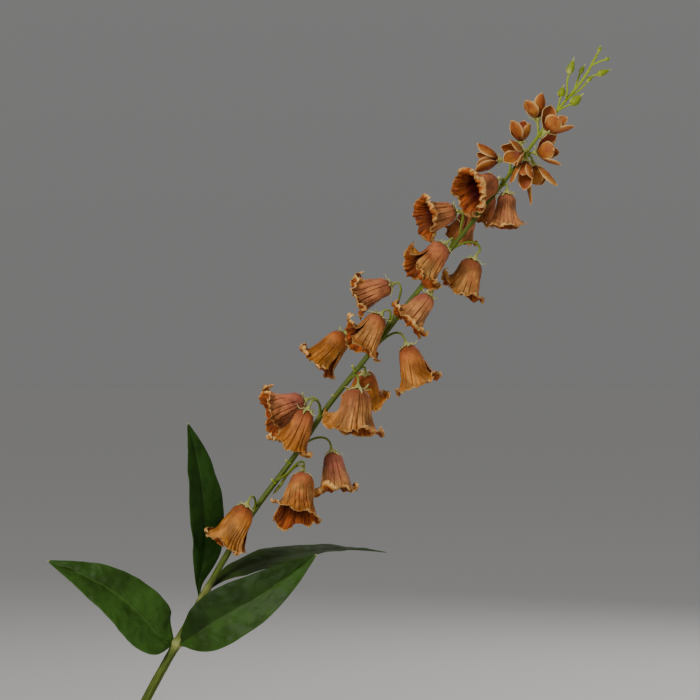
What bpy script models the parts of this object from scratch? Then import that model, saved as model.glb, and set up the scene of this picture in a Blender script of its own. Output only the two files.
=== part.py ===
"""A cut flower stem standing in a plain stoneware vase of water.

One leaning stem carries four leaves, a spike of wilted bell flowers, a few small open flowers
near the top and a tip of green buds. Metres, +Z up, with the origin under the middle of the
vase and the stem leaning towards +X. The tables below are in millimetres.
"""

import math
import random
from collections import namedtuple

import bmesh
import bpy
from mathutils import Matrix, Vector

MM = 0.001
GAP = 0.3
TURN = 2 * math.pi
VIEWER = Vector((0, -1, 0))

# The vase: its outer and inner walls as radius and height, from the foot up.
VASE_OUTER = [(40, 0), (44, 2), (55, 18), (64, 42), (66, 68), (59, 100), (44, 130), (30.5, 155), (25.5, 172)]
VASE_NECK_OUTER = [(27.8, 183), (31.5, 190)]
VASE_LIP = [(30.6, 191.7), (28.8, 191.7)]
VASE_INNER = [(38, 7), (43.5, 9.5), (50, 20), (58.5, 43), (60.5, 68), (53.5, 99.5), (39, 129), (25.2, 154)]
VASE_NECK_INNER = [(20.2, 172), (23.6, 182), (27.6, 190)]
VASE_SEGMENTS = 28
WATER_LEVEL = 118
WATER_GAP = 0.45

# The stem's centre line and its radius, from the cut end in the vase to the tip.
STEM_LINE = [
    ((-34, 0, 8.1), 3.4),
    ((-24.8, 0, 60), 3.4),
    ((-10.8, 0, 110), 3.4),
    ((4.3, 0, 150), 3.4),
    ((31, 0, 206.5), 3.3),
    ((51, 0, 243), 3.1),
    ((73, 1, 283), 2.4),
    ((108, 2, 342), 2.1),
    ((141, 1, 387), 2.0),
    ((165, 0, 423), 2.0),
    ((195, -1, 461), 1.9),
    ((232, -1, 509), 1.8),
    ((268, 0, 555), 1.7),
    ((299, 1, 594), 1.4),
    ((318, 1, 619), 1.3),
    ((338, 1, 646), 1.1),
    ((359, 0, 672), 1.0),
    ((368.5, 0, 689), 0.9),
]
STEM_SIDES = 8
STEM_RINGS = 44
LEAF_JOINT_SWELL = 0.7
LEAF_JOINT_REACH = 5

# Bell flowers. base is the crown, where the calyx holds the flower. heading swings the mouth from
# straight down towards +X, and nod towards the viewer, in degrees. root is the height at which
# the flower's stalk leaves the stem. seam is the side that the wall is joined on, and slit is how
# far the seam has torn open, as a share of the way round. One lobe of the lip is lifted up, on the
# side lifted, by lift. Sides are angles round the flower: 0 right, 90 front, 180 left, 270 back.
Bell = namedtuple("Bell", "name base heading nod length radius root seam slit lifted lift")
BELLS = [
    Bell("bell_01", (105.6, -16, 351.1), -27, 5, 34, 17, 344, 10, 0.10, 180, 0.1),
    Bell("bell_02", (148.1, -8, 374.9), -10, 24, 37, 20, 369, 195, 0.09, 170, 0.4),
    Bell("bell_03", (169.6, 10, 389.9), 8, 4, 31, 17, 392, 270, 0.0, 0, 0.0),
    Bell("bell_04", (148.6, 5, 429.2), -68, 12, 31, 18.5, 412, 265, 0.0, 180, 0.5),
    Bell("bell_05", (151.3, -20, 422.2), -24, 0, 32, 17, 414, 280, 0.0, 190, 0.2),
    Bell("bell_06", (188.8, -18, 438.5), -5, 5, 34, 20.5, 441, 250, 0.0, 178, 0.8),
    Bell("bell_07", (194.5, 12, 449.4), -2, -45, 28, 16, 446, 90, 0.05, 0, 0.0),
    Bell("bell_08", (179.1, 12, 479.6), -41, 0, 33, 16.5, 466, 35, 0.10, 180, 0.1),
    Bell("bell_09", (205.6, -14, 492.8), -35, 8, 30, 17, 468, 140, 0.06, 180, 1.2),
    Bell("bell_10", (226.0, 2, 470.5), 18, 0, 32, 17, 463, 15, 0.07, 0, 0.2),
    Bell("bell_11", (213.2, 2, 516.3), -70, 0, 29, 15.5, 477, 270, 0.0, 182, 0.8),
    Bell("bell_12", (242.0, -18, 507.7), -37, 5, 28, 16.5, 507, 270, 0.0, 178, 0.7),
    Bell("bell_13", (276.5, 6, 535.2), -23, 0, 28, 16.5, 543, 270, 0.0, 180, 0.7),
    Bell("bell_14", (253.3, -18.5, 545.0), -43, 11, 31, 17.5, 534, 135, 0.08, 185, 0.9),
    Bell("bell_15", (274.7, 12, 574.1), -23, -15, 26, 13, 561, 90, 0.0, 180, 0.4),
    Bell("bell_16", (261.2, 4, 571.6), -77, 24, 27, 16, 552, 270, 0.0, 0, 0.0),
    Bell("bell_17", (291.6, -6, 593.6), -65, 32, 29, 17, 577, 270, 0.0, 200, 0.3),
    Bell("bell_18", (300.8, -2, 584.4), -3, 0, 26, 13.5, 581, 270, 0.0, 0, 0.2),
    Bell("bell_19", (290.6, 24, 585.5), -20, -10, 23, 10.5, 573, 90, 0.0, 0, 0.0),
]
LIFT_SPREAD = 0.65
# Points that some stalks pass on their way from the stem to the flower.
STALK_PATHS = {
    "bell_02": [(136, -5, 375), (144.2, -7.5, 383.2), (148.4, -8, 383.8)],
    "bell_09": [(208.7, -7, 482.4), (213.2, -10, 491.5), (212.6, -12, 497.2)],
    "bell_11": [(212.8, 4, 486), (219.6, 4, 504.5), (221.4, 3, 514), (219, 2, 518.6)],
    "bell_12": [(238.5, -5, 514.5), (245.5, -12, 517.5), (247.8, -16, 515.6)],
    "bell_13": [(270.5, 0.5, 548.3), (278.5, 3, 547.5), (281, 5, 542.5)],
    "bell_16": [(266.6, 3, 560.5), (268.2, 4, 568.4), (267, 5, 571.4)],
}
# A bell's wall from crown to lip: step, share of its length, share of its lip radius.
BELL_PROFILE = [
    (0.00, 0.000, 0.00),
    (0.06, 0.005, 0.14),
    (0.12, 0.035, 0.30),
    (0.20, 0.110, 0.42),
    (0.35, 0.270, 0.50),
    (0.55, 0.500, 0.58),
    (0.72, 0.710, 0.68),
    (0.84, 0.860, 0.80),
    (0.93, 0.960, 0.93),
    (1.00, 0.990, 1.08),
]
BELL_STEPS = (0, 0.06, 0.20, 0.55, 0.84, 1.0)
BELL_COLUMNS = 20
BELL_LOBES = 5
PETAL_THICKNESS = 0.8

# Small open flowers near the top. Each petal is its direction round the flower, counted like a
# seam, its lean out from the flower's axis, both in degrees, its length and half its width.
Floret = namedtuple("Floret", "name base heading nod root petals")
FLORETS = [
    Floret(
        "floret_1", (294.4, 4, 610.3), -93, 0, 593,
        [(42, 34, 21, 6.8), (155, 34, 20, 6.8), (230, 18, 17, 6), (310, 20, 17, 6)],
    ),
    Floret(
        "floret_2", (310.9, -10.5, 616.1), -79, 30, 610,
        [(30, 46, 15, 6), (140, 36, 15, 6.6), (225, 30, 15, 6), (310, 30, 15, 6)],
    ),
    Floret(
        "floret_3", (311.6, 3, 624.5), -177, 10, 608,
        [(48, 24, 18, 7), (152, 28, 15, 5.4), (245, 22, 16, 6), (320, 24, 17, 6)],
    ),
    Floret(
        "floret_4", (323.6, 2, 641.7), -174, 0, 625,
        [(50, 38, 17, 7.4), (138, 18, 19, 6.2), (220, 24, 18, 6), (310, 28, 16, 6)],
    ),
    Floret(
        "floret_5", (329.9, -10, 631.4), 141, 15, 626,
        [(95, 30, 17, 7), (168, 40, 21, 6), (240, 32, 19, 6.6), (312, 40, 20, 7.2)],
    ),
    Floret(
        "floret_6", (324.3, 2, 616.2), 99, 20, 610,
        [(95, 26, 17, 7), (180, 36, 20, 5.8), (250, 24, 16, 6), (325, 46, 20, 6.4)],
    ),
    Floret(
        "floret_7", (314.7, -8, 607.9), -5, 10, 606,
        [(45, 24, 15, 5.6), (112, 24, 13, 6.4), (185, 30, 20, 6.6), (280, 8, 21, 6)],
    ),
    Floret(
        "floret_8", (321.6, 6, 605.9), 16, -5, 602,
        [(32, 36, 23, 7), (110, 14, 15, 6), (182, 18, 29, 4.2), (290, 22, 17, 6)],
    ),
]
# A petal from its root to its tip: step, and the share of its half width. Each petal stays clear
# of the planes midway to its two neighbours.
PETAL_OUTLINE = [(0, 0.2), (0.2, 0.6), (0.38, 0.93), (0.55, 1.0), (0.74, 0.85), (0.9, 0.48), (1, 0.04)]
PETAL_STEPS = (0, 0.25, 0.55, 0.82, 1.0)
PETAL_ROOT = 1.5
PETAL_BOW = 0.6
PETAL_CUP = 0.35
PETAL_TWIST = 0.16
PETAL_CLEAR = 0.6

# Stalks, calyx cups and the pointed sepals under every flower, one sepal to each side of the cup.
STALK_RADIUS = 0.95
STALK_SIDES = 5
CUP_LENGTH = 5
CUP_RADII = [(0.4, 1.8), (0.75, 2.5), (1.0, 2.6)]
SEPAL_TIP = (9.0, 1.4)

# Buds at the tip: the points of each stalk, then where the bud starts and ends, and its radius.
Bud = namedtuple("Bud", "stalk start tip radius")
BUDS = [
    Bud([(366.5, 0, 685.5), (369, 0, 690)], (369.8, 0, 691.4), (371.4, 0, 696.2), 1.7),
    Bud([(364.5, 0, 681), (371, -1, 684)], (375, -1, 685.2), (378.6, -1, 686.6), 1.5),
    Bud([(346, 0, 656), (357, 2, 664), (365, 4, 672.5)], (369.5, 5, 674.8), (380.6, 6, 679), 2.4),
    Bud([(357, 2, 664), (360.5, 2.5, 668)], (361, 3, 669), (366.5, 2, 674.5), 1.9),
    Bud([(352, 0, 664), (354.5, 3, 671)], (356, 4, 675.5), (360.2, 5, 682.8), 1.7),
    Bud([(345, 0, 655), (346, -3, 662), (345.6, -5, 668)], (347, -6, 674), (351.1, -7, 687), 2.8),
    Bud([(338, 1, 646), (340.5, 5, 653)], (341.8, 6, 658.3), (344.3, 7, 667.5), 3.0),
    Bud([(339, 1, 647), (345, -3, 650)], (348.8, -5, 651.4), (358.2, -7, 659.6), 3.5),
]
BUD_SIDES = 6
# Stubs where older flowers fell: where each leaves the stem, and its end.
STUBS = [
    ((127.5, -1, 367.5), (123.8, -2, 370.6)),
    ((138.5, 0, 382), (134.6, -1, 385)),
    ((173, -1, 432.5), (169.3, -2, 433.4)),
    ((187, -2, 451), (184.6, -4.2, 456.6)),
]
STUB_RADIUS = 1.1
# A long bract that hangs from under the second flower, along the stem.
BRACT = [(148, -8, 380.6), (143.5, -4, 380.6), (136.5, -1, 374.2), (130, 4, 364.8), (124.4, 7, 358)]
BRACT_RADII = [0.8, 0.8, 0.9, 1.3, 1.1]

# Leaves: the height of the joint on the stem, the side it is on, the midrib's points after it, the
# way the upper face looks at the leaf's base and at its tip, the greatest half width, how steeply
# the two halves fold up from the midrib, in degrees, and the outline. An outline is the share of the
# half width at each of the steps along the leaf.
Leaf = namedtuple("Leaf", "name joint side midrib facing tip_facing half_width fold outline")
LEAF_STEPS = (0, 0.03, 0.08, 0.16, 0.28, 0.42, 0.58, 0.74, 0.88, 1)
BROAD = (0.08, 0.3, 0.66, 0.92, 1, 0.95, 0.8, 0.56, 0.28, 0.02)
OVAL = (0.08, 0.2, 0.48, 0.8, 1, 1, 0.86, 0.6, 0.3, 0.02)
LANCE = (0.07, 0.09, 0.22, 0.52, 0.84, 1, 0.96, 0.72, 0.38, 0.02)
LEAVES = [
    Leaf(
        "leaf_1",
        247,
        (-1, -0.1, 0.1),
        [(39, -6, 255), (28, -9, 268), (11, -11, 284), (-13, -11, 298), (-43, -6, 310)],
        (0.2, -0.9, 0.4),
        (0.2, -0.85, 0.5),
        21.5,
        10,
        BROAD,
    ),
    Leaf(
        "leaf_2",
        281,
        (-1, 0, 0.6),
        [(69.5, 2, 292), (74, 4, 320), (73, 4, 352), (68, 2, 386), (61.5, -2, 413)],
        (0.72, -0.65, 0.2),
        (0.66, -0.74, 0.1),
        17.5,
        16,
        LANCE,
    ),
    Leaf(
        "leaf_3",
        247,
        (1, -0.8, -0.05),
        [(71, -9.5, 257), (91, -15, 270), (112, -17, 282), (134, -16, 297), (158.5, -10, 315)],
        (0.1, -0.96, 0.28),
        (0.1, -0.88, 0.46),
        21,
        12,
        OVAL,
    ),
    Leaf(
        "leaf_4",
        288,
        (1, 0.6, 0.1),
        [(91, 12, 298), (111, 19, 305), (134, 27, 310.5), (160, 36, 314), (186, 43, 315), (212, 49, 311.8)],
        (-0.15, -0.6, 0.78),
        (-0.1, 0.1, 0.99),
        18,
        10,
        LANCE,
    ),
]
LEAF_THICKNESS = 0.8
LEAF_STANDOFF = 0.6

COLOURS = {
    "stoneware": ((0.52, 0.49, 0.44), 0.55),
    "water": ((0.60, 0.68, 0.66), 0.05),
    "stem_green": ((0.24, 0.33, 0.08), 0.5),
    "leaf_green": ((0.06, 0.17, 0.04), 0.4),
    "petal_rust": ((0.62, 0.27, 0.10), 0.75),
}


def clear_scene():
    """Takes away whatever the file held."""
    for found in list(bpy.data.objects):
        bpy.data.objects.remove(found)


def material(name):
    """A plain Principled material of one of the named colours."""
    found = bpy.data.materials.get(name)
    if found:
        return found
    colour, roughness = COLOURS[name]
    made = bpy.data.materials.new(name)
    made.use_nodes = True
    shader = made.node_tree.nodes["Principled BSDF"]
    shader.inputs["Base Color"].default_value = (*colour, 1)
    shader.inputs["Roughness"].default_value = roughness
    shader.inputs["Metallic"].default_value = 0
    made.diffuse_color = (*colour, 1)
    return made


def add_object(name, shape, material_name):
    """Makes an object of a bmesh, given in millimetres."""
    bmesh.ops.recalc_face_normals(shape, faces=shape.faces)
    bmesh.ops.scale(shape, vec=(MM, MM, MM), verts=shape.verts)
    mesh = bpy.data.meshes.new(name)
    shape.to_mesh(mesh)
    shape.free()
    made = bpy.data.objects.new(name, mesh)
    made.data.materials.append(material(material_name))
    bpy.context.scene.collection.objects.link(made)
    return made


def thicken(made, thickness):
    """Gives an open sheet its thickness, half on each side."""
    solid = made.modifiers.new("thickness", "SOLIDIFY")
    solid.thickness = thickness * MM
    solid.offset = 0


def curve_through(points, shares):
    """The points at those shares of the length of a smooth curve through the given ones."""
    points = [Vector(p) for p in points]
    first = points[0] * 2 - points[1]
    last = points[-1] * 2 - points[-2]
    whole = [first, *points, last]
    dense = []
    for a, b, c, d in zip(whole, whole[1:], whole[2:], whole[3:]):
        dense += [spline_point((a, b, c, d), i / 24) for i in range(24)]
    dense.append(points[-1])
    return points_along(dense, shares)


def spline_point(corners, share):
    """A point on the centripetal Catmull-Rom curve between the middle two of four corners."""
    a, b, c, d = corners
    knots = [0.0]
    for p, q in zip(corners, corners[1:]):
        knots.append(knots[-1] + max((q - p).length, 1e-9) ** 0.5)
    t0, t1, t2, t3 = knots
    t = t1 + (t2 - t1) * share
    ab = a.lerp(b, (t - t0) / (t1 - t0))
    bc = b.lerp(c, (t - t1) / (t2 - t1))
    cd = c.lerp(d, (t - t2) / (t3 - t2))
    abc = ab.lerp(bc, (t - t0) / (t2 - t0))
    bcd = bc.lerp(cd, (t - t1) / (t3 - t1))
    return abc.lerp(bcd, (t - t1) / (t2 - t1))


def evenly(count):
    """count shares from 0 to 1, at equal steps."""
    return [i / (count - 1) for i in range(count)]


def points_along(points, shares):
    """The points at those shares of the length of a line of many."""
    lengths = [0.0]
    for p, q in zip(points, points[1:]):
        lengths.append(lengths[-1] + (q - p).length)
    found, at = [], 0
    for share in shares:
        wanted = lengths[-1] * share
        while at < len(points) - 2 and lengths[at + 1] < wanted:
            at += 1
        stretch = max(lengths[at + 1] - lengths[at], 1e-9)
        found.append(points[at].lerp(points[at + 1], (wanted - lengths[at]) / stretch))
    return found


def table_at(table, step):
    """The row of a table at that step, in straight lines between its rows, without the step."""
    for low, high in zip(table, table[1:]):
        if step <= high[0]:
            share = (step - low[0]) / (high[0] - low[0])
            return [a + (b - a) * share for a, b in zip(low[1:], high[1:])]
    return list(table[-1][1:])


def smooth_between(low, high, value):
    """0 below low, 1 above high, and a smooth rise between."""
    share = min(max((value - low) / (high - low), 0), 1)
    return share * share * (3 - 2 * share)


def add_tube(shape, points, radii, sides, spike_tip=None):
    """Adds a closed tube through the points to a bmesh. spike_tip raises a spike on its last sides."""
    side = (points[1] - points[0]).orthogonal()
    rings = []
    for i, (point, radius) in enumerate(zip(points, radii)):
        along = (points[min(i + 1, len(points) - 1)] - points[max(i - 1, 0)]).normalized()
        side = (side - along * side.dot(along)).normalized()
        other = along.cross(side)
        ring = []
        for k in range(sides):
            angle = TURN * k / sides
            ring.append(shape.verts.new(point + (side * math.cos(angle) + other * math.sin(angle)) * radius))
        rings.append(ring)
    for lower, upper in zip(rings, rings[1:]):
        for k in range(sides):
            corners = (lower[k - 1], lower[k], upper[k], upper[k - 1])
            if spike_tip and upper is rings[-1]:
                tip = shape.verts.new(spike_tip(sum((v.co for v in corners), Vector()) / 4))
                for a, b in zip(corners, corners[1:] + corners[:1]):
                    shape.faces.new((a, b, tip))
            else:
                shape.faces.new(corners)
    shape.faces.new(reversed(rings[0]))
    shape.faces.new(rings[-1])


def add_sheet(shape, rows):
    """Adds a grid of points to a bmesh as an open sheet of quads."""
    made = [[shape.verts.new(point) for point in row] for row in rows]
    for lower, upper in zip(made, made[1:]):
        for i in range(len(lower) - 1):
            shape.faces.new((lower[i], lower[i + 1], upper[i + 1], upper[i]))


def weld(shape):
    """Makes points that lie on each other one."""
    bmesh.ops.remove_doubles(shape, verts=shape.verts, dist=0.02)


def turned(profile):
    """A solid of revolution from radius and height pairs that start and end on the axis."""
    shape = bmesh.new()
    verts = [shape.verts.new((radius, 0, height)) for radius, height in profile]
    edges = [shape.edges.new(pair) for pair in zip(verts, verts[1:])]
    bmesh.ops.spin(
        shape,
        geom=verts + edges,
        cent=(0, 0, 0),
        axis=(0, 0, 1),
        angle=TURN,
        steps=VASE_SEGMENTS,
        use_duplicate=False,
    )
    weld(shape)
    return shape


def flower_axes(heading, nod):
    """The flower's right, front and mouth directions, as the viewer sees it hanging."""
    heading, nod = math.radians(heading), math.radians(nod)
    mouth = Vector((math.sin(heading), 0, -math.cos(heading))) * math.cos(nod) + VIEWER * math.sin(nod)
    front = (VIEWER - mouth * mouth.dot(VIEWER)).normalized()
    return front.cross(mouth), front, mouth


def stand_flower(made, flower):
    """Moves a flower's object to its place on the stem."""
    right, front, mouth = flower_axes(flower.heading, flower.nod)
    turned_axes = Matrix((right, front, mouth)).transposed()
    made.matrix_world = Matrix.Translation(Vector(flower.base) * MM) @ turned_axes.to_4x4()


def vase_inner_wall():
    """The inner wall's radius and height, from the floor's edge to the neck."""
    return [(p.x, p.y) for p in curve_through([(r, z, 0) for r, z in VASE_INNER], evenly(8))]


def build_vase():
    """A turned stoneware bottle with a flat foot, a wide belly and a flared lip."""
    outer = [(p.x, p.y) for p in curve_through([(r, z, 0) for r, z in VASE_OUTER], evenly(10))]
    inner = vase_inner_wall() + VASE_NECK_INNER
    profile = [(0, 0), *outer, *VASE_NECK_OUTER, *VASE_LIP, *reversed(inner), (0, VASE_INNER[0][1])]
    made = add_object("vase", turned(profile), "stoneware")
    made.data.shade_smooth()


def build_water():
    """The water that fills the belly, with a plain hole where the stem stands in it."""
    wall = vase_inner_wall()
    below = [(r - WATER_GAP, z) for r, z in wall if z < WATER_LEVEL]
    below[0] = (below[0][0], below[0][1] + GAP)
    low, high = [(a, b) for a, b in zip(wall, wall[1:]) if a[1] < WATER_LEVEL <= b[1]][0]
    share = (WATER_LEVEL - low[1]) / (high[1] - low[1])
    edge = low[0] + (high[0] - low[0]) * share - WATER_GAP
    profile = [(0, below[0][1]), *below, (edge, WATER_LEVEL), (0, WATER_LEVEL)]
    made = add_object("water", turned(profile), "water")
    cutter_shape = bmesh.new()
    line = stem_line()
    reach = [p for p, _ in line if p.z < WATER_LEVEL + 20]
    reach[0] = reach[0] - (reach[1] - reach[0]).normalized() * 5
    add_tube(cutter_shape, reach, [STEM_LINE[0][1] + GAP + 0.2] * len(reach), STEM_SIDES)
    cutter = add_object("stem_hole_cutter", cutter_shape, "water")
    cutter.hide_render = True
    cutter.display_type = "WIRE"
    hole = made.modifiers.new("stem_hole", "BOOLEAN")
    hole.operation = "DIFFERENCE"
    hole.object = cutter


def stem_line():
    """Points and radii down the middle of the stem, swollen where the leaves join."""
    centres = curve_through([p for p, _ in STEM_LINE], evenly(STEM_RINGS))
    table = [(p[2], r) for p, r in STEM_LINE]
    line = []
    for centre in centres:
        radius = table_at(table, centre.z)[0]
        for leaf in LEAVES:
            away = abs(centre.z - leaf.joint)
            radius += LEAF_JOINT_SWELL * 0.5 * max(1 - away / LEAF_JOINT_REACH, 0)
        line.append((centre, radius))
    return line


def stem_at(height):
    """The stem's middle and its direction at a height."""
    line = stem_line()
    for (low, _), (high, _) in zip(line, line[1:]):
        if low.z <= height <= high.z:
            return low.lerp(high, (height - low.z) / (high.z - low.z)), (high - low).normalized()
    return line[-1][0], Vector((0, 0, 1))


def stalk_line(flower):
    """Points along a flower's stalk, from the middle of the stem to the top of the cup."""
    mouth = flower_axes(flower.heading, flower.nod)[2]
    root, up = stem_at(flower.root)
    end = Vector(flower.base) - mouth * CUP_LENGTH
    if flower.name in STALK_PATHS:
        return curve_through([root, *STALK_PATHS[flower.name], end], evenly(8))
    reach = max((end - root).length, 6)
    corners = (root, root + up * reach * 0.45, end - mouth * reach * 0.45, end)
    points = []
    for share in evenly(6):
        left = 1 - share
        weights = (left**3, 3 * left**2 * share, 3 * left * share**2, share**3)
        points.append(sum((c * w for c, w in zip(corners, weights)), Vector()))
    return points


def add_flower_stalk(shape, flower):
    """Adds a flower's stalk, from the middle of the stem, with the cup and the sepals at its end."""
    mouth = flower_axes(flower.heading, flower.nod)[2]
    base = Vector(flower.base)
    points = stalk_line(flower)
    radii = [STALK_RADIUS] * len(points)
    top = points[-1]
    seat = PETAL_THICKNESS / 2 + GAP
    for share, radius in CUP_RADII:
        points.append(top + mouth * (CUP_LENGTH - seat) * share)
        radii.append(radius)

    def sepal_tip(side):
        out = side - base
        out = (out - mouth * out.dot(mouth)).normalized()
        return base + out * SEPAL_TIP[0] + mouth * SEPAL_TIP[1]

    add_tube(shape, points, radii, STALK_SIDES, sepal_tip)


def add_bud(shape, bud):
    """Adds a bud on its stalk, as one tube that swells and then narrows to a point."""
    stalk = [Vector(p) for p in bud.stalk]
    start, tip = Vector(bud.start), Vector(bud.tip)
    points = stalk + [start.lerp(tip, share) for share in (0, 0.22, 0.5, 0.78, 1)]
    radii = [0.75] * (len(stalk) - 1) + [0.8, 0.95]
    radii += [bud.radius * share for share in (0.85, 1, 0.55, 0.12)]
    add_tube(shape, points, radii, BUD_SIDES)


def add_stub(shape, stub):
    """Adds the stub of an older flower to the stem."""
    root, end = Vector(stub[0]), Vector(stub[1])
    middle = root.lerp(end, 0.7)
    add_tube(shape, [root, middle, end], [STUB_RADIUS * 0.8, STUB_RADIUS, STUB_RADIUS * 0.5], BUD_SIDES)


def add_bract(shape, points):
    """Adds the long bract under the second flower."""
    line = curve_through(points, evenly(len(BRACT_RADII) * 2 - 1))
    table = list(zip(evenly(len(BRACT_RADII)), BRACT_RADII))
    add_tube(shape, line, [table_at(table, share)[0] for share in evenly(len(line))], STALK_SIDES)


def build_stem():
    """The stem with every stalk, calyx and bud that grows from it, fused into one body."""
    line = stem_line()
    core_shape = bmesh.new()
    add_tube(core_shape, [p for p, _ in line], [r for _, r in line], STEM_SIDES)
    core = add_object("stem", core_shape, "stem_green")
    sprigs = bpy.data.collections.new("sprigs")
    bpy.context.scene.collection.children.link(sprigs)
    adders = [(add_flower_stalk, flower) for flower in BELLS + FLORETS]
    adders += [(add_bud, bud) for bud in BUDS]
    adders += [(add_stub, stub) for stub in STUBS]
    adders += [(add_bract, BRACT)]
    for adder, described in adders:
        shape = bmesh.new()
        adder(shape, described)
        helper = add_object("sprig", shape, "stem_green")
        bpy.context.scene.collection.objects.unlink(helper)
        sprigs.objects.link(helper)
    union = core.modifiers.new("fused", "BOOLEAN")
    union.operation = "UNION"
    union.operand_type = "COLLECTION"
    union.collection = sprigs
    union.solver = "MANIFOLD"
    bpy.context.view_layer.update()
    graph = bpy.context.evaluated_depsgraph_get()
    fused = bpy.data.meshes.new_from_object(core.evaluated_get(graph))
    core.modifiers.clear()
    core.data = fused
    for helper in list(sprigs.objects):
        bpy.data.objects.remove(helper)
    bpy.data.collections.remove(sprigs)


def bell_point(bell, waves, step, turn):
    """A point of a bell's wall: step runs from crown to lip, and turn once round from the seam."""
    along, out = table_at(BELL_PROFILE, step)
    flare = smooth_between(0.5, 1, step)
    opening = bell.slit * smooth_between(0.3, 1, step)
    angle = math.radians(bell.seam) + TURN * (opening / 2 + turn * (1 - opening))
    lobe = 0.5 - 0.5 * math.cos(TURN * BELL_LOBES * turn)
    ruffle = sum(size * math.cos(TURN * count * turn + phase) for count, size, phase in waves["ruffle"])
    oval = 1 + waves["oval"] * math.cos(2 * angle + waves["oval_phase"])
    radius = bell.radius * out * oval * (1 - 0.10 * (1 - lobe) * flare**2 + 0.05 * ruffle * flare)
    height = bell.length * (along - 0.07 * (1 - lobe) * flare**3 + 0.045 * ruffle * flare**2)
    height -= bell.length * 0.05 * lobe * smooth_between(0.88, 1, step)
    away = (angle - math.radians(bell.lifted) + math.pi) % TURN - math.pi
    lifted = bell.lift * math.exp(-((away / LIFT_SPREAD) ** 2)) * flare
    radius *= 1 + 0.18 * lifted
    height -= bell.length * 0.38 * lifted
    bow = waves["bow"] * bell.length * step**2
    return Vector((radius * math.cos(angle) + bow, radius * math.sin(angle), height))


def bell_waves(seed):
    """The chance bends and ruffles of one bell, the same on every run."""
    chance = random.Random(seed)
    return {
        "ruffle": [(count, size, chance.uniform(0, TURN)) for count, size in ((2, 0.7), (3, 0.8), (7, 0.6))],
        "oval": chance.uniform(0.04, 0.10),
        "oval_phase": chance.uniform(0, TURN),
        "bow": chance.uniform(-0.03, 0.03),
    }


def build_bell(bell):
    """A wilted bell: a crown, a tube and a flared, lobed lip, some of them torn at the seam."""
    waves = bell_waves(bell.name)
    turns = [i / BELL_COLUMNS for i in range(BELL_COLUMNS + 1)]
    shape = bmesh.new()
    add_sheet(shape, [[bell_point(bell, waves, step, turn) for turn in turns] for step in BELL_STEPS])
    weld(shape)
    made = add_object(bell.name, shape, "petal_rust")
    made.data.shade_smooth()
    thicken(made, PETAL_THICKNESS)
    stand_flower(made, bell)


def petal_point(petal, root, step, across):
    """A point of a petal: root holds the two ends and the middle of its root, and across is -1 to 1."""
    azimuth, lean, length, half_width = petal
    azimuth, lean = math.radians(azimuth), math.radians(lean)
    out = Vector((math.cos(azimuth), math.sin(azimuth), 0))
    around = Vector((-math.sin(azimuth), math.cos(azimuth), 0))
    mouth = Vector((0, 0, 1))
    outward = out * math.cos(lean) - mouth * math.sin(lean)
    half = half_width * table_at(PETAL_OUTLINE, step)[0]
    point = out * PETAL_ROOT + (out * math.sin(lean) + mouth * math.cos(lean)) * length * step
    point += outward * length * PETAL_BOW * step * (1 - step) ** 1.6
    point += around * half * across + outward * half * (PETAL_TWIST * across - PETAL_CUP * across**2)
    point = kept_apart(point, root)
    rooted = root[0].lerp(root[1], across + 1) if across < 0 else root[1].lerp(root[2], across)
    return rooted.lerp(point, smooth_between(0, 0.25, step))


def kept_apart(point, root):
    """The point, moved sideways where it would come too near the petal on either side."""
    for end, inward in ((root[0], 1), (root[2], -1)):
        away = Vector((-end.y, end.x, 0)).normalized() * inward
        point = point + away * max(PETAL_CLEAR - point.dot(away), 0)
    return point


def petal_roots(petals):
    """For each petal the start, middle and end of its root on the small ring that they share."""
    roots = []
    for i, petal in enumerate(petals):
        before = petals[i - 1][0] - (360 if i == 0 else 0)
        after = petals[(i + 1) % len(petals)][0] + (360 if i == len(petals) - 1 else 0)
        angles = ((before + petal[0]) / 2, petal[0], (petal[0] + after) / 2)
        turns = [math.radians(angle) for angle in angles]
        roots.append([Vector((math.cos(a), math.sin(a), 0)) * PETAL_ROOT for a in turns])
    return roots


def build_floret(floret):
    """A small flower: cupped petals that join at its middle."""
    shape = bmesh.new()
    for petal, root in zip(floret.petals, petal_roots(floret.petals)):
        rows = [[Vector()] * 3]
        for step in PETAL_STEPS:
            rows.append([petal_point(petal, root, step, across) for across in (-1, 0, 1)])
        add_sheet(shape, rows)
    weld(shape)
    bmesh.ops.triangulate(shape, faces=shape.faces)
    made = add_object(floret.name, shape, "petal_rust")
    made.data.shade_smooth()
    thicken(made, PETAL_THICKNESS)
    stand_flower(made, floret)


def build_leaf(leaf):
    """A leaf folded a little along its midrib, from just off the stem to its pointed tip."""
    middle, _ = stem_at(leaf.joint)
    radius = table_at([(p[2], r) for p, r in STEM_LINE], leaf.joint)[0] + LEAF_JOINT_SWELL
    base = middle + Vector(leaf.side).normalized() * (radius + LEAF_STANDOFF)
    centres = curve_through([base, *leaf.midrib], LEAF_STEPS)
    fold = math.radians(leaf.fold)
    rows = []
    for i, centre in enumerate(centres):
        along = (centres[min(i + 1, len(centres) - 1)] - centres[max(i - 1, 0)]).normalized()
        facing = Vector(leaf.facing).lerp(Vector(leaf.tip_facing), LEAF_STEPS[i])
        side = along.cross(facing).normalized()
        upper = side.cross(along)
        half = leaf.half_width * leaf.outline[i]
        row = []
        for across in (-1, -0.5, 0, 0.5, 1):
            rise = half * math.sin(fold) * (abs(across) - 0.35 * across * across)
            row.append(centre + side * half * math.cos(fold) * across + upper * rise)
        rows.append(row)
    shape = bmesh.new()
    add_sheet(shape, rows)
    made = add_object(leaf.name, shape, "leaf_green")
    made.data.shade_smooth()
    thicken(made, LEAF_THICKNESS)


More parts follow.
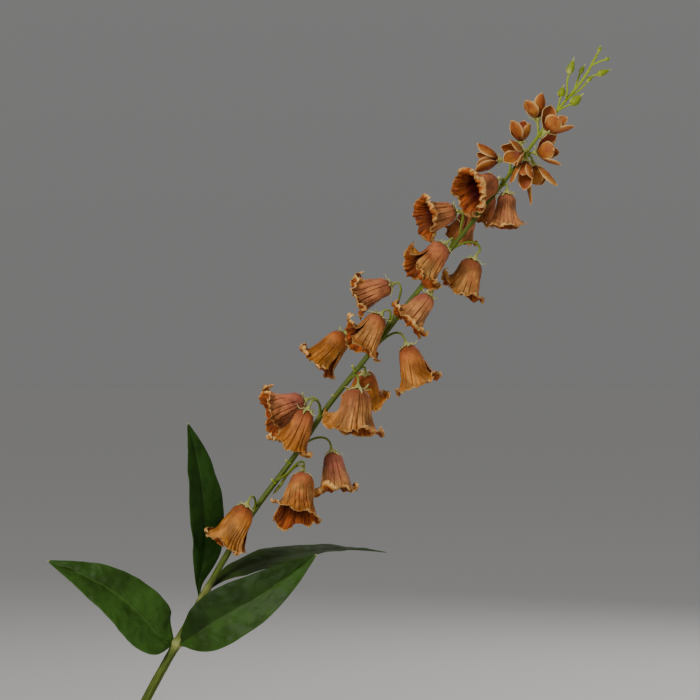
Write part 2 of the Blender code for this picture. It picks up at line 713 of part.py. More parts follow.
def main():
    clear_scene()
    build_vase()
    build_water()
    build_stem()
    for bell in BELLS:
        build_bell(bell)
    for floret in FLORETS:
        build_floret(floret)
    for leaf in LEAVES:
        build_leaf(leaf)


main()
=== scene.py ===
"""The looks of a cut flower stem in a plain stoneware vase.

One leaning stem carries four leaves, a spike of wilted bell flowers, a few small open flowers near
the top and a tip of green buds. The tables are in millimetres, in the frame's axes: +Z up, the
stem leaning towards +X, and the viewer looking along +Y.
"""

import math
import random
from collections import namedtuple

import bpy
import numpy as np
from mathutils import Matrix, Vector, noise


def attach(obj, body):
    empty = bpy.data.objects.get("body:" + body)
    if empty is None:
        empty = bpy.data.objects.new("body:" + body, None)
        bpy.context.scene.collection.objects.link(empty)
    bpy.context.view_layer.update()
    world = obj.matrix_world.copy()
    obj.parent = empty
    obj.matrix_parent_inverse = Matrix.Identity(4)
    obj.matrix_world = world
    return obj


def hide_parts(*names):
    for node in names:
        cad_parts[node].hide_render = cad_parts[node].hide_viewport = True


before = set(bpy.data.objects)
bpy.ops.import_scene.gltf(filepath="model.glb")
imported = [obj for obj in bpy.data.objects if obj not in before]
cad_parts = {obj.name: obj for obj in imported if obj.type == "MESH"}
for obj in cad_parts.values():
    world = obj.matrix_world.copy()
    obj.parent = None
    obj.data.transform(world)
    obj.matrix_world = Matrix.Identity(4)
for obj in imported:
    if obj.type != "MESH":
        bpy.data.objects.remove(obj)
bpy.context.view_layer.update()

MM = 0.001
TURN = 2 * math.pi
VIEWER = Vector((0, -1, 0))
BODY = "root"

# The vase: its outer and inner walls as radius and height, from the foot up.
VASE_OUTER = [(40, 0), (44, 2), (55, 18), (64, 42), (66, 68), (59, 100), (44, 130), (30.5, 155), (25.5, 172)]
VASE_NECK_OUTER = [(27.8, 183), (31.5, 190)]
VASE_LIP = [(31.2, 191.3), (30.3, 191.7), (28.9, 191.6), (28.1, 191)]
VASE_INNER = [(38, 7), (43.5, 9.5), (50, 20), (58.5, 43), (60.5, 68), (53.5, 99.5), (39, 129), (25.2, 154)]
VASE_NECK_INNER = [(20.2, 172), (23.6, 182), (27.6, 190)]
VASE_SEGMENTS = 112
THROWING_RIDGE = 0.13
WATER_LEVEL = 118
WATER_GAP = 0.15
WATER_SEGMENTS = 72

# The stem's centre line and its radius, from the cut end in the vase to the tip.
STEM_LINE = [
    ((-34, 0, 8.1), 3.4),
    ((-24.8, 0, 60), 3.4),
    ((-10.8, 0, 110), 3.4),
    ((4.3, 0, 150), 3.4),
    ((31, 0, 206.5), 3.3),
    ((51, 0, 243), 3.1),
    ((73, 1, 283), 2.4),
    ((108, 2, 342), 2.1),
    ((141, 1, 387), 2.0),
    ((165, 0, 423), 2.0),
    ((195, -1, 461), 1.9),
    ((232, -1, 509), 1.8),
    ((268, 0, 555), 1.7),
    ((299, 1, 594), 1.4),
    ((318, 1, 619), 1.3),
    ((338, 1, 646), 1.1),
    ((359, 0, 672), 1.0),
    ((368.5, 0, 689), 0.9),
]
STEM_SIDES = 30
STEM_RINGS = 320
STEM_RIBS = 7
LEAF_JOINT_SWELL = 0.7
LEAF_JOINT_REACH = 5

# Bell flowers. base is the crown, where the calyx holds the flower. heading swings the mouth from
# straight down towards +X, and nod towards the viewer, in degrees. root is the height at which
# the flower's stalk leaves the stem. seam is the side that the wall is joined on, and slit is how
# far the seam has torn open, as a share of the way round. One lobe of the lip is lifted up, on the
# side lifted, by lift. Sides are angles round the flower: 0 right, 90 front, 180 left, 270 back.
Bell = namedtuple("Bell", "name base heading nod length radius root seam slit lifted lift")
BELLS = [
    Bell("bell_01", (105.6, -16, 351.1), -27, 5, 34, 17, 344, 10, 0.10, 180, 0.1),
    Bell("bell_02", (148.1, -8, 374.9), -10, 24, 37, 20, 369, 195, 0.09, 170, 0.4),
    Bell("bell_03", (169.6, 10, 389.9), 8, 4, 31, 17, 392, 270, 0.0, 0, 0.0),
    Bell("bell_04", (148.6, 5, 429.2), -68, 12, 31, 18.5, 412, 265, 0.0, 180, 0.5),
    Bell("bell_05", (151.3, -20, 422.2), -24, 0, 32, 17, 414, 280, 0.0, 190, 0.2),
    Bell("bell_06", (188.8, -18, 438.5), -5, 5, 34, 20.5, 441, 250, 0.0, 178, 0.8),
    Bell("bell_07", (194.5, 12, 449.4), -2, -45, 28, 16, 446, 90, 0.05, 0, 0.0),
    Bell("bell_08", (179.1, 12, 479.6), -41, 0, 33, 16.5, 466, 35, 0.10, 180, 0.1),
    Bell("bell_09", (205.6, -14, 492.8), -35, 8, 30, 17, 468, 140, 0.06, 180, 1.2),
    Bell("bell_10", (226.0, 2, 470.5), 18, 0, 32, 17, 463, 15, 0.07, 0, 0.2),
    Bell("bell_11", (213.2, 2, 516.3), -70, 0, 29, 15.5, 477, 270, 0.0, 182, 0.8),
    Bell("bell_12", (242.0, -18, 507.7), -37, 5, 28, 16.5, 507, 270, 0.0, 178, 0.7),
    Bell("bell_13", (276.5, 6, 535.2), -23, 0, 28, 16.5, 543, 270, 0.0, 180, 0.7),
    Bell("bell_14", (253.3, -18.5, 545.0), -43, 11, 31, 17.5, 534, 135, 0.08, 185, 0.9),
    Bell("bell_15", (274.7, 12, 574.1), -23, -15, 26, 13, 561, 90, 0.0, 180, 0.4),
    Bell("bell_16", (261.2, 4, 571.6), -77, 24, 27, 16, 552, 270, 0.0, 0, 0.0),
    Bell("bell_17", (291.6, -6, 593.6), -65, 32, 29, 17, 577, 270, 0.0, 200, 0.3),
    Bell("bell_18", (300.8, -2, 584.4), -3, 0, 26, 13.5, 581, 270, 0.0, 0, 0.2),
    Bell("bell_19", (290.6, 24, 585.5), -20, -10, 23, 10.5, 573, 90, 0.0, 0, 0.0),
]
LIFT_SPREAD = 0.65
STALK_PATHS = {
    "bell_02": [(136, -5, 375), (144.2, -7.5, 383.2), (148.4, -8, 383.8)],
    "bell_09": [(208.7, -7, 482.4), (213.2, -10, 491.5), (212.6, -12, 497.2)],
    "bell_11": [(212.8, 4, 486), (219.6, 4, 504.5), (221.4, 3, 514), (219, 2, 518.6)],
    "bell_12": [(238.5, -5, 514.5), (245.5, -12, 517.5), (247.8, -16, 515.6)],
    "bell_13": [(270.5, 0.5, 548.3), (278.5, 3, 547.5), (281, 5, 542.5)],
    "bell_16": [(266.6, 3, 560.5), (268.2, 4, 568.4), (267, 5, 571.4)],
}
# A bell's wall from crown to lip: step, share of its length, share of its lip radius.
BELL_PROFILE = [
    (0.00, 0.000, 0.00),
    (0.06, 0.005, 0.14),
    (0.12, 0.035, 0.30),
    (0.20, 0.110, 0.42),
    (0.35, 0.270, 0.50),
    (0.55, 0.500, 0.58),
    (0.72, 0.710, 0.68),
    (0.84, 0.860, 0.80),
    (0.93, 0.960, 0.93),
    (1.00, 0.990, 1.08),
]
BELL_LOBES = 5

# How each bell has wilted: how pink and how pale its outside is, from 0 to 1, how far its whole lip
# rolls back, in degrees, how frilly the lip is, where it rolls back more (side, and how far), and
# where the wall is folded (side, step where the fold starts, depth). Sides are counted as above.
Wilt = namedtuple("Wilt", "blush pale curl frill rolls folds")
WILTS = {
    "bell_01": Wilt(0.1, 0.3, 45, 1, [(184, 150), (300, 90)], [(38, 0.35, 0.9), (52, 0.5, 0.8), (64, 0.55, 0.7), (24, 0.3, 0.8)]),
    "bell_02": Wilt(0.45, 0.45, 35, 0.8, [(4, 150), (172, 60)], [(62, 0.3, 0.5), (75, 0.35, 0.6), (90, 0.3, 0.5), (104, 0.45, 0.6), (47, 0.4, 0.5)]),
    "bell_03": Wilt(0.8, 0.5, 105, 1.3, [(178, 130), (150, 90), (2, 150), (115, 80)], [(95, 0.1, 0.5), (70, 0.2, 0.5), (120, 0.2, 0.4)]),
    "bell_04": Wilt(0.85, 0.1, 60, 1.2, [(180, 60)], [(80, 0.1, 0.7), (100, 0.2, 0.7), (62, 0.3, 0.6), (130, 0.4, 0.6)]),
    "bell_05": Wilt(0.35, 0.3, 40, 1.1, [(182, 70), (20, 120), (60, 80)], [(98, 0.08, 0.8), (72, 0.3, 0.6), (58, 0.4, 0.7), (120, 0.5, 0.5)]),
    "bell_06": Wilt(0.6, 0.45, 30, 0.8, [(0, 160), (178, 20), (60, 50)], [(78, 0.12, 1.1), (92, 0.35, 0.8), (58, 0.3, 0.8), (40, 0.35, 0.7)]),
    "bell_07": Wilt(0.1, 0.0, 40, 1, [(0, 60)], [(100, 0.2, 0.7), (60, 0.3, 0.7)]),
    "bell_08": Wilt(0.15, 0.35, 55, 1.1, [(178, 160), (150, 110), (200, 100)], [(80, 0.3, 0.6), (105, 0.5, 0.6), (125, 0.6, 0.6)]),
    "bell_09": Wilt(0.5, 0.5, 45, 1.2, [(20, 120), (170, 40), (330, 90)], [(60, 0.35, 0.7), (76, 0.45, 0.7), (95, 0.5, 0.7), (120, 0.4, 0.5)]),
    "bell_10": Wilt(0.3, 0.3, 50, 1.1, [(180, 110), (5, 150), (330, 140)], [(140, 0.3, 0.7), (152, 0.4, 0.7), (128, 0.35, 0.6)]),
    "bell_11": Wilt(0.8, 0.2, 50, 1.2, [(180, 120), (100, 40)], [(92, 0.1, 0.9), (70, 0.4, 0.8), (115, 0.25, 0.7), (50, 0.5, 0.8)]),
    "bell_12": Wilt(0.85, 0.35, 70, 1.3, [(178, 150), (10, 150), (80, 70)], [(88, 0.08, 0.9), (66, 0.2, 0.6), (118, 0.3, 0.5)]),
    "bell_13": Wilt(0.5, 0.9, 60, 1.2, [(182, 60), (340, 150), (40, 110)], [(60, 0.5, 0.7), (80, 0.6, 0.6), (130, 0.5, 0.5)]),
    "bell_14": Wilt(0.5, 0.8, 50, 1.3, [(200, 60), (30, 110), (300, 130)], [(70, 0.3, 0.5), (110, 0.4, 0.6), (50, 0.3, 0.6)]),
    "bell_15": Wilt(0.7, 0.2, 50, 1, [(180, 80)], [(90, 0.2, 0.6)]),
    "bell_16": Wilt(0.75, 0.2, 100, 1.6, [(270, 40), (180, 60)], [(60, 0.1, 0.6), (90, 0.15, 0.7), (120, 0.1, 0.6), (140, 0.2, 0.6)]),
    "bell_17": Wilt(0.6, 0.9, 95, 1.8, [(90, 20)], [(45, 0.3, 0.7), (0, 0.4, 0.8), (330, 0.3, 0.7)]),
    "bell_18": Wilt(1.0, 0.1, 75, 0.9, [(0, 50), (180, 30)], [(80, 0.08, 0.5), (100, 0.12, 0.5), (120, 0.1, 0.5), (60, 0.15, 0.5)]),
    "bell_19": Wilt(0.6, 0.0, 40, 1, [(0, 60)], [(100, 0.2, 0.6), (70, 0.3, 0.6)]),
}
# How wrinkled a bell's wall is, where it isn't 1.
WRINKLES = {"bell_01": 0.6, "bell_03": 0.5, "bell_05": 0.7, "bell_08": 0.4, "bell_10": 0.45, "bell_13": 0.5}
MORE_FOLDS = 3
FOLD_COLUMNS = (-2, -1, -0.5, 0, 0.5, 1, 2)
BELL_BASE_COLUMNS = 150
BELL_ROWS = 30
HEM_ROWS = 10
HEM_START = 0.92
HEM_LENGTH = 0.19
BELL_SKIN = 0.32

# Small open flowers near the top. Each petal is its direction round the flower, counted like a
# seam, its lean out from the flower's axis, both in degrees, its length and half its width.
Floret = namedtuple("Floret", "name base heading nod root petals")
FLORETS = [
    Floret(
        "floret_1", (294.4, 4, 610.3), -93, 0, 593,
        [(42, 34, 21, 6.8), (155, 34, 20, 6.8), (230, 18, 17, 6), (310, 20, 17, 6)],
    ),
    Floret(
        "floret_2", (310.9, -10.5, 616.1), -79, 30, 610,
        [(30, 46, 15, 6), (140, 36, 15, 6.6), (225, 30, 15, 6), (310, 30, 15, 6)],
    ),
    Floret(
        "floret_3", (311.6, 3, 624.5), -177, 10, 608,
        [(48, 24, 18, 7), (152, 28, 15, 5.4), (245, 22, 16, 6), (320, 24, 17, 6)],
    ),
    Floret(
        "floret_4", (323.6, 2, 641.7), -174, 0, 625,
        [(50, 38, 17, 7.4), (138, 18, 19, 6.2), (220, 24, 18, 6), (310, 28, 16, 6)],
    ),
    Floret(
        "floret_5", (329.9, -10, 631.4), 141, 15, 626,
        [(95, 30, 17, 7), (168, 40, 21, 6), (240, 32, 19, 6.6), (312, 40, 20, 7.2)],
    ),
    Floret(
        "floret_6", (324.3, 2, 616.2), 99, 20, 610,
        [(95, 26, 17, 7), (180, 36, 20, 5.8), (250, 24, 16, 6), (325, 46, 20, 6.4)],
    ),
    Floret(
        "floret_7", (314.7, -8, 607.9), -5, 10, 606,
        [(45, 24, 15, 5.6), (112, 24, 13, 6.4), (185, 30, 20, 6.6), (280, 8, 21, 6)],
    ),
    Floret(
        "floret_8", (321.6, 6, 605.9), 16, -5, 602,
        [(32, 36, 23, 7), (110, 14, 15, 6), (182, 18, 29, 4.2), (290, 22, 17, 6)],
    ),
]
PETAL_OUTLINE = [(0, 0.2), (0.2, 0.6), (0.38, 0.93), (0.55, 1.0), (0.74, 0.85), (0.9, 0.48), (1, 0.04)]
PETAL_ROOT = 1.5
PETAL_BOW = 0.6
PETAL_CUP = 0.35
PETAL_TWIST = 0.16
PETAL_ROWS = 26
PETAL_COLUMNS = 17
PETAL_SKIN = 0.4

# Stalks, calyx cups and the pointed sepals under every flower.
STALK_RADIUS = 0.95
STALK_SIDES = 12
STALK_RINGS = 30
CUP_LENGTH = 5
CUP_RADII = [(0.0, 0.95), (0.25, 1.15), (0.5, 1.8), (0.72, 2.4), (0.9, 2.7), (1.0, 2.5)]
SEPALS = 5
SEPAL_SKIN = 0.3
SEPAL_REACH = {"bell_07": 3.5, "bell_06": 11.5, "bell_11": 9.5, "bell_05": 8.5, "bell_09": 9.5, "bell_13": 8, "bell_01": 8}

# Buds at the tip: the points of each stalk, then where the bud starts and ends, and its radius.
Bud = namedtuple("Bud", "stalk start tip radius")
BUDS = [
    Bud([(366.5, 0, 685.5), (369, 0, 690)], (369.8, 0, 691.4), (371.4, 0, 696.2), 1.7),
    Bud([(364.5, 0, 681), (371, -1, 684)], (375, -1, 685.2), (378.6, -1, 686.6), 1.5),
    Bud([(346, 0, 656), (357, 2, 664), (365, 4, 672.5)], (369.5, 5, 674.8), (380.6, 6, 679), 2.4),
    Bud([(357, 2, 664), (360.5, 2.5, 668)], (361, 3, 669), (366.5, 2, 674.5), 1.9),
    Bud([(352, 0, 664), (354.5, 3, 671)], (356, 4, 675.5), (360.2, 5, 682.8), 1.7),
    Bud([(345, 0, 655), (346, -3, 662), (345.6, -5, 668)], (347, -6, 674), (351.1, -7, 687), 2.8),
    Bud([(338, 1, 646), (340.5, 5, 653)], (341.8, 6, 658.3), (344.3, 7, 667.5), 3.0),
    Bud([(339, 1, 647), (345, -3, 650)], (348.8, -5, 651.4), (358.2, -7, 659.6), 3.5),
]
# Stubs where older flowers fell: where each leaves the stem, and its end.
STUBS = [
    ((127.5, -1, 367.5), (123.8, -2, 370.6)),
    ((138.5, 0, 382), (134.6, -1, 385)),
    ((173, -1, 432.5), (169.3, -2, 433.4)),
    ((187, -2, 451), (184.6, -4.2, 456.6)),
]
STUB_RADIUS = 1.1
# A long bract that hangs from under the second flower, along the stem.
BRACT = [(148, -8, 380.6), (143.5, -4, 380.6), (136.5, -1, 374.2), (130, 4, 364.8), (124.4, 7, 358)]
BRACT_RADII = [0.8, 0.8, 0.9, 1.3, 1.1]

# Leaves: the height of the joint on the stem, the side it is on, the midrib's points after it, the
# way the upper face looks at the leaf's base and at its tip, the greatest half width, how steeply
# the two halves fold up from the midrib, in degrees, and the outline. An outline is the share of the
# half width at each of the steps along the leaf.
Leaf = namedtuple("Leaf", "name joint side midrib facing tip_facing half_width fold outline")
LEAF_STEPS = (0, 0.03, 0.08, 0.16, 0.28, 0.42, 0.58, 0.74, 0.88, 1)
BROAD = (0.08, 0.3, 0.66, 0.92, 1, 0.95, 0.8, 0.56, 0.28, 0.02)
OVAL = (0.08, 0.2, 0.48, 0.8, 1, 1, 0.86, 0.6, 0.3, 0.02)
LANCE = (0.07, 0.09, 0.22, 0.52, 0.84, 1, 0.96, 0.72, 0.38, 0.02)
LEAVES = [
    Leaf(
        "leaf_1",
        247,
        (-1, -0.1, 0.1),
        [(39, -6, 255), (28, -9, 268), (11, -11, 284), (-13, -11, 298), (-43, -6, 310)],
        (0.2, -0.9, 0.4),
        (0.2, -0.85, 0.5),
        21.5,
        10,
        BROAD,
    ),
    Leaf(
        "leaf_2",
        281,
        (-1, 0, 0.6),
        [(69.5, 2, 292), (74, 4, 320), (73, 4, 352), (68, 2, 386), (61.5, -2, 413)],
        (0.72, -0.65, 0.2),
        (0.66, -0.74, 0.1),
        17.5,
        16,
        LANCE,
    ),
    Leaf(
        "leaf_3",
        247,
        (1, -0.8, -0.05),
        [(71, -9.5, 257), (91, -15, 270), (112, -17, 282), (134, -16, 297), (158.5, -10, 315)],
        (0.1, -0.96, 0.28),
        (0.1, -0.88, 0.46),
        21,
        12,
        OVAL,
    ),
    Leaf(
        "leaf_4",
        288,
        (1, 0.6, 0.1),
        [(91, 12, 298), (111, 19, 305), (134, 27, 310.5), (160, 36, 314), (186, 43, 315), (212, 49, 311.8)],
        (-0.15, -0.6, 0.78),
        (-0.1, 0.1, 0.99),
        18,
        10,
        LANCE,
    ),
]
LEAF_ROWS = 96
LEAF_COLUMNS = 41
LEAF_SKIN = 0.55
LEAF_VEINS = 11
# How blistered each leaf is, and how olive, from 0 to 1.
LEAF_BLISTER = {"leaf_1": 1.0, "leaf_2": 0.35, "leaf_3": 0.6, "leaf_4": 0.35}
LEAF_OLIVE = {"leaf_1": 0.25, "leaf_2": 0.0, "leaf_3": 0.3, "leaf_4": 0.8}
# Painted shade on the two halves of each leaf: how light each half is, as factors.
LEAF_HALF_SHADE = {"leaf_1": (1, 1), "leaf_2": (0.7, 0.7), "leaf_3": (0.55, 1), "leaf_4": (0.7, 0.7)}


class Skin:
    """The points, faces and per-point values of one piece, collected from grids of points."""

    def __init__(self):
        self.points, self.spots, self.forms, self.tones = [], [], [], []
        self.quads, self.triangles = [], []
        self.count = 0

    def add_points(self, points, spot, form, tone):
        """Adds points of shape (..., 3) with their values, and returns their numbers."""
        shape = points.shape[:-1]
        for kept, values in ((self.points, points), (self.spots, spot), (self.forms, form), (self.tones, tone)):
            kept.append(np.broadcast_to(values, (*shape, 3)).reshape(-1, 3))
        number = np.arange(int(np.prod(shape))).reshape(shape) + self.count
        self.count += number.size
        return number

    def join(self, number, closed=False, flip=False):
        """Adds the quads of a grid of point numbers."""
        if closed:
            number = np.concatenate([number, number[:, :1]], axis=1)
        corners = (number[:-1, :-1], number[:-1, 1:], number[1:, 1:], number[1:, :-1])
        quads = np.stack(corners, axis=-1).reshape(-1, 4)
        self.quads.append(quads[:, ::-1] if flip else quads)

    def add_shell(self, points, skin, spot, form, tone, closed=False):
        """Adds a sheet of that thickness round a grid, open at its edges unless its columns close."""
        out = grid_normals(points, closed)
        inner_form = np.broadcast_to(form, points.shape).copy()
        inner_form[..., 2] = 1
        half = np.broadcast_to(skin, points.shape[:-1])[..., None] / 2
        outer = self.add_points(points + out * half, spot, form, tone)
        inner = self.add_points(points - out * half, spot, inner_form, tone)
        self.join(outer, closed)
        self.join(inner, closed, flip=True)
        self.join(np.stack([inner[0], outer[0]]), closed)
        self.join(np.stack([outer[-1], inner[-1]]), closed)
        if not closed:
            self.join(np.stack([outer[:, 0], inner[:, 0]]))
            self.join(np.stack([inner[:, -1], outer[:, -1]]))

    def add_tube(self, centres, radii, sides, tone, form=(0, 0, 0), swell=None):
        """Adds a closed tube. swell holds a factor for the radius at each ring and side."""
        centres = np.array([tuple(c) for c in centres], float)
        along = unit(np.gradient(centres, axis=0))
        side = np.array(Vector(along[0]).orthogonal().normalized())
        angle = TURN * np.arange(sides) / sides
        rings = []
        for direction in along:
            side = unit(side - direction * side.dot(direction))
            other = np.cross(direction, side)
            rings.append(np.cos(angle)[:, None] * side + np.sin(angle)[:, None] * other)
        rings = np.array(rings)
        reach = np.array(radii, float)[:, None] * (1 if swell is None else swell)
        points = centres[:, None] + rings * np.broadcast_to(reach, rings.shape[:2])[..., None]
        lengths = np.concatenate([[0], np.cumsum(np.linalg.norm(np.diff(centres, axis=0), axis=1))])
        spot = np.stack(np.broadcast_arrays(np.cos(angle), np.sin(angle), lengths[:, None]), axis=-1)
        tone = np.array(tone, float)
        if tone.ndim == 2:
            tone = tone[:, None]
        number = self.add_points(points, spot, form, tone)
        self.join(number, closed=True)
        for ring, end, value in ((number[0], 0, 1), (number[-1], -1, -1)):
            tone_end = np.broadcast_to(tone, points.shape)[end, 0]
            middle = self.add_points(centres[end], spot[end, 0], (0, 0, 0), tone_end)
            fan = np.stack([np.full(sides, int(middle)), np.roll(ring, -1), ring], axis=-1)
            self.triangles.append(fan if value == 1 else fan[:, ::-1])


def unit(vectors):
    """The vectors at length 1."""
    return vectors / np.maximum(np.linalg.norm(vectors, axis=-1, keepdims=True), 1e-9)


def grid_normals(points, closed=False):
    """The normal of a grid of points at each of them: across its columns, then along its rows."""
    if closed:
        around = np.roll(points, -1, axis=1) - np.roll(points, 1, axis=1)
    else:
        around = np.gradient(points, axis=1)
    return unit(np.cross(around, np.gradient(points, axis=0)))


def rise(low, high, values):
    """0 below low, 1 above high, and a smooth rise between."""
    share = np.clip((np.asarray(values, float) - low) / (high - low), 0, 1)
    return share * share * (3 - 2 * share)


def bump(values):
    """A smooth hill of height 1 at 0, about 1 wide."""
    return np.exp(-np.square(values))


def smooth_table(table, steps):
    """The columns of a table at those steps of its first one, on smooth curves through its rows."""
    table = np.array(table, float)
    knots, rows = table[:, 0], table[:, 1:]
    slopes = np.gradient(rows, knots, axis=0)
    low = np.clip(np.searchsorted(knots, steps) - 1, 0, len(knots) - 2)
    width = (knots[low + 1] - knots[low])[:, None]
    t = (np.asarray(steps, float) - knots[low])[:, None] / width
    found = (2 * t**3 - 3 * t**2 + 1) * rows[low] + (t**3 - 2 * t**2 + t) * width * slopes[low]
    found += (3 * t**2 - 2 * t**3) * rows[low + 1] + (t**3 - t**2) * width * slopes[low + 1]
    return found.T


def spline_point(corners, share):
    """A point on the centripetal Catmull-Rom curve between the middle two of four corners."""
    a, b, c, d = corners
    knots = [0.0]
    for p, q in zip(corners, corners[1:]):
        knots.append(knots[-1] + max((q - p).length, 1e-9) ** 0.5)
    t0, t1, t2, t3 = knots
    t = t1 + (t2 - t1) * share
    ab = a.lerp(b, (t - t0) / (t1 - t0))
    bc = b.lerp(c, (t - t1) / (t2 - t1))
    cd = c.lerp(d, (t - t2) / (t3 - t2))
    abc = ab.lerp(bc, (t - t0) / (t2 - t0))
    bcd = bc.lerp(cd, (t - t1) / (t3 - t1))
    return abc.lerp(bcd, (t - t1) / (t2 - t1))


def curve_through(points, shares):
    """The points at those shares of the length of a smooth curve through the given ones."""
    points = [Vector(p) for p in points]
    first = points[0] * 2 - points[1]
    last = points[-1] * 2 - points[-2]
    whole = [first, *points, last]
    dense = []
    for corners in zip(whole, whole[1:], whole[2:], whole[3:]):
        dense += [spline_point(corners, i / 24) for i in range(24)]
    dense = np.array([tuple(p) for p in [*dense, points[-1]]])
    lengths = np.concatenate([[0], np.cumsum(np.linalg.norm(np.diff(dense, axis=0), axis=1))])
    wanted = np.asarray(shares, float) * lengths[-1]
    return np.stack([np.interp(wanted, lengths, dense[:, axis]) for axis in range(3)], axis=-1)


def evenly(count):
    """count shares from 0 to 1, at equal steps."""
    return np.linspace(0, 1, count)


def noise_at(points, size, seed):
    """Smooth chance values from -1 to 1 at the points, with bumps of about that size."""
    shift = Vector((seed * 17.3, seed * 5.1, seed * 29.7))
    flat = (np.asarray(points) / size).reshape(-1, 3)
    found = [noise.noise(Vector(p) + shift) for p in flat.tolist()]
    return np.array(found).reshape(np.shape(points)[:-1])


def flower_axes(heading, nod):
    """The flower's right, front and mouth directions, as the viewer sees it hanging."""
    heading, nod = math.radians(heading), math.radians(nod)
    mouth = Vector((math.sin(heading), 0, -math.cos(heading))) * math.cos(nod) + VIEWER * math.sin(nod)
    front = (VIEWER - mouth * mouth.dot(VIEWER)).normalized()
    return front.cross(mouth), front, mouth


def on_plant(flower, points):
    """Points in a flower's own axes, moved to its place on the stem."""
    axes = np.array([tuple(axis) for axis in flower_axes(flower.heading, flower.nod)])
    return points @ axes + np.array(flower.base)


def make_piece(name, skin, material_name, nodes):
    """Makes an object of a skin, which stands for those nodes of the model."""
    points = np.concatenate(skin.points) * MM
    quads = np.concatenate(skin.quads)
    triangles = np.concatenate(skin.triangles) if skin.triangles else np.empty((0, 3), int)
    mesh = bpy.data.meshes.new(name)
    mesh.vertices.add(len(points))
    mesh.vertices.foreach_set("co", points.ravel())
    corners = np.concatenate([quads.ravel(), triangles.ravel()])
    mesh.loops.add(len(corners))
    mesh.loops.foreach_set("vertex_index", corners)
    sizes = np.concatenate([np.full(len(quads), 4), np.full(len(triangles), 3)])
    mesh.polygons.add(len(sizes))
    mesh.polygons.foreach_set("loop_start", np.concatenate([[0], np.cumsum(sizes)[:-1]]))
    mesh.update(calc_edges=True)
    mesh.shade_smooth()
    for label, values in (("spot", skin.spots), ("form", skin.forms), ("tone", skin.tones)):
        kept = mesh.attributes.new(label, "FLOAT_VECTOR", "POINT")
        kept.data.foreach_set("vector", np.concatenate(values).ravel())
    made = bpy.data.objects.new(name, mesh)
    mesh.materials.append(MATERIALS[material_name]())
    bpy.context.scene.collection.objects.link(made)
    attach(made, BODY)
    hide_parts(*nodes)
    return made


def bell_waves(seed):
    """The chance bends and ruffles of one bell, the same as the solid's."""
    chance = random.Random(seed)
    return {
        "ruffle": [(count, size, chance.uniform(0, TURN)) for count, size in ((2, 0.7), (3, 0.8), (7, 0.6))],
        "oval": chance.uniform(0.04, 0.10),
        "oval_phase": chance.uniform(0, TURN),
        "bow": chance.uniform(-0.03, 0.03),
    }


def bell_wall(bell, step, turn, twist):
    """Points of a bell's wall in its own axes: step runs from crown to lip, turn once round."""
    waves = bell_waves(bell.name)
    along, out = (column.reshape(step.shape) for column in smooth_table(BELL_PROFILE, step.ravel()))
    flare = rise(0.5, 1, step)
    opening = bell.slit * rise(0.3, 1, step)
    angle = math.radians(bell.seam) + TURN * (opening / 2 + turn * (1 - opening)) + twist
    lobe = 0.5 - 0.5 * np.cos(TURN * BELL_LOBES * turn)
    ruffle = sum(size * np.cos(TURN * count * turn + phase) for count, size, phase in waves["ruffle"])
    oval = 1 + waves["oval"] * np.cos(2 * angle + waves["oval_phase"])
    radius = bell.radius * out * oval * (1 - 0.10 * (1 - lobe) * flare**2 + 0.05 * ruffle * flare)
    height = bell.length * (along - 0.07 * (1 - lobe) * flare**3 + 0.045 * ruffle * flare**2)
    height = height - bell.length * 0.05 * lobe * rise(0.88, 1, step)
    away = (angle - math.radians(bell.lifted) + math.pi) % TURN - math.pi
    lifted = bell.lift * bump(away / LIFT_SPREAD) * flare
    radius = radius * (1 + 0.18 * lifted)
    height = height - bell.length * 0.38 * lifted
    bow = waves["bow"] * bell.length * step**2
    return np.stack([radius * np.cos(angle) + bow, radius * np.sin(angle), height], axis=-1), angle


def bell_folds(bell, chance):
    """The folds of a bell's wall: turn, width in turns, starting step, depth in millimetres."""
    folds = []
    for side, start, depth in WILTS[bell.name].folds:
        folds.append((((side - bell.seam) / 360) % 1, chance.uniform(0.006, 0.008), start, depth))
    more = round(MORE_FOLDS * WRINKLES.get(bell.name, 1))
    while len(folds) < len(WILTS[bell.name].folds) + more:
        turn = chance.random()
        apart = min(abs((turn - fold[0] + 0.5) % 1 - 0.5) for fold in folds)
        if apart > 0.028:
            folds.append((turn, chance.uniform(0.005, 0.009), chance.uniform(0.15, 0.6), chance.uniform(0.3, 0.7)))
    return folds


def bell_turns(folds, closed):
    """The columns of a bell's grid: even ones, and closer ones across each fold."""
    turns = list(np.arange(BELL_BASE_COLUMNS) / BELL_BASE_COLUMNS)
    for turn, width, _, _ in folds:
        turns += [turn + width * offset for offset in FOLD_COLUMNS]
    if closed:
        turns = sorted(turn % 1 for turn in turns)
    else:
        turns = sorted([turn for turn in turns if 0 < turn < 1] + [0.0, 1.0])
    kept = [turns[0]]
    for turn in turns[1:]:
        if turn - kept[-1] > 0.0022:
            kept.append(turn)
    return np.array(kept)


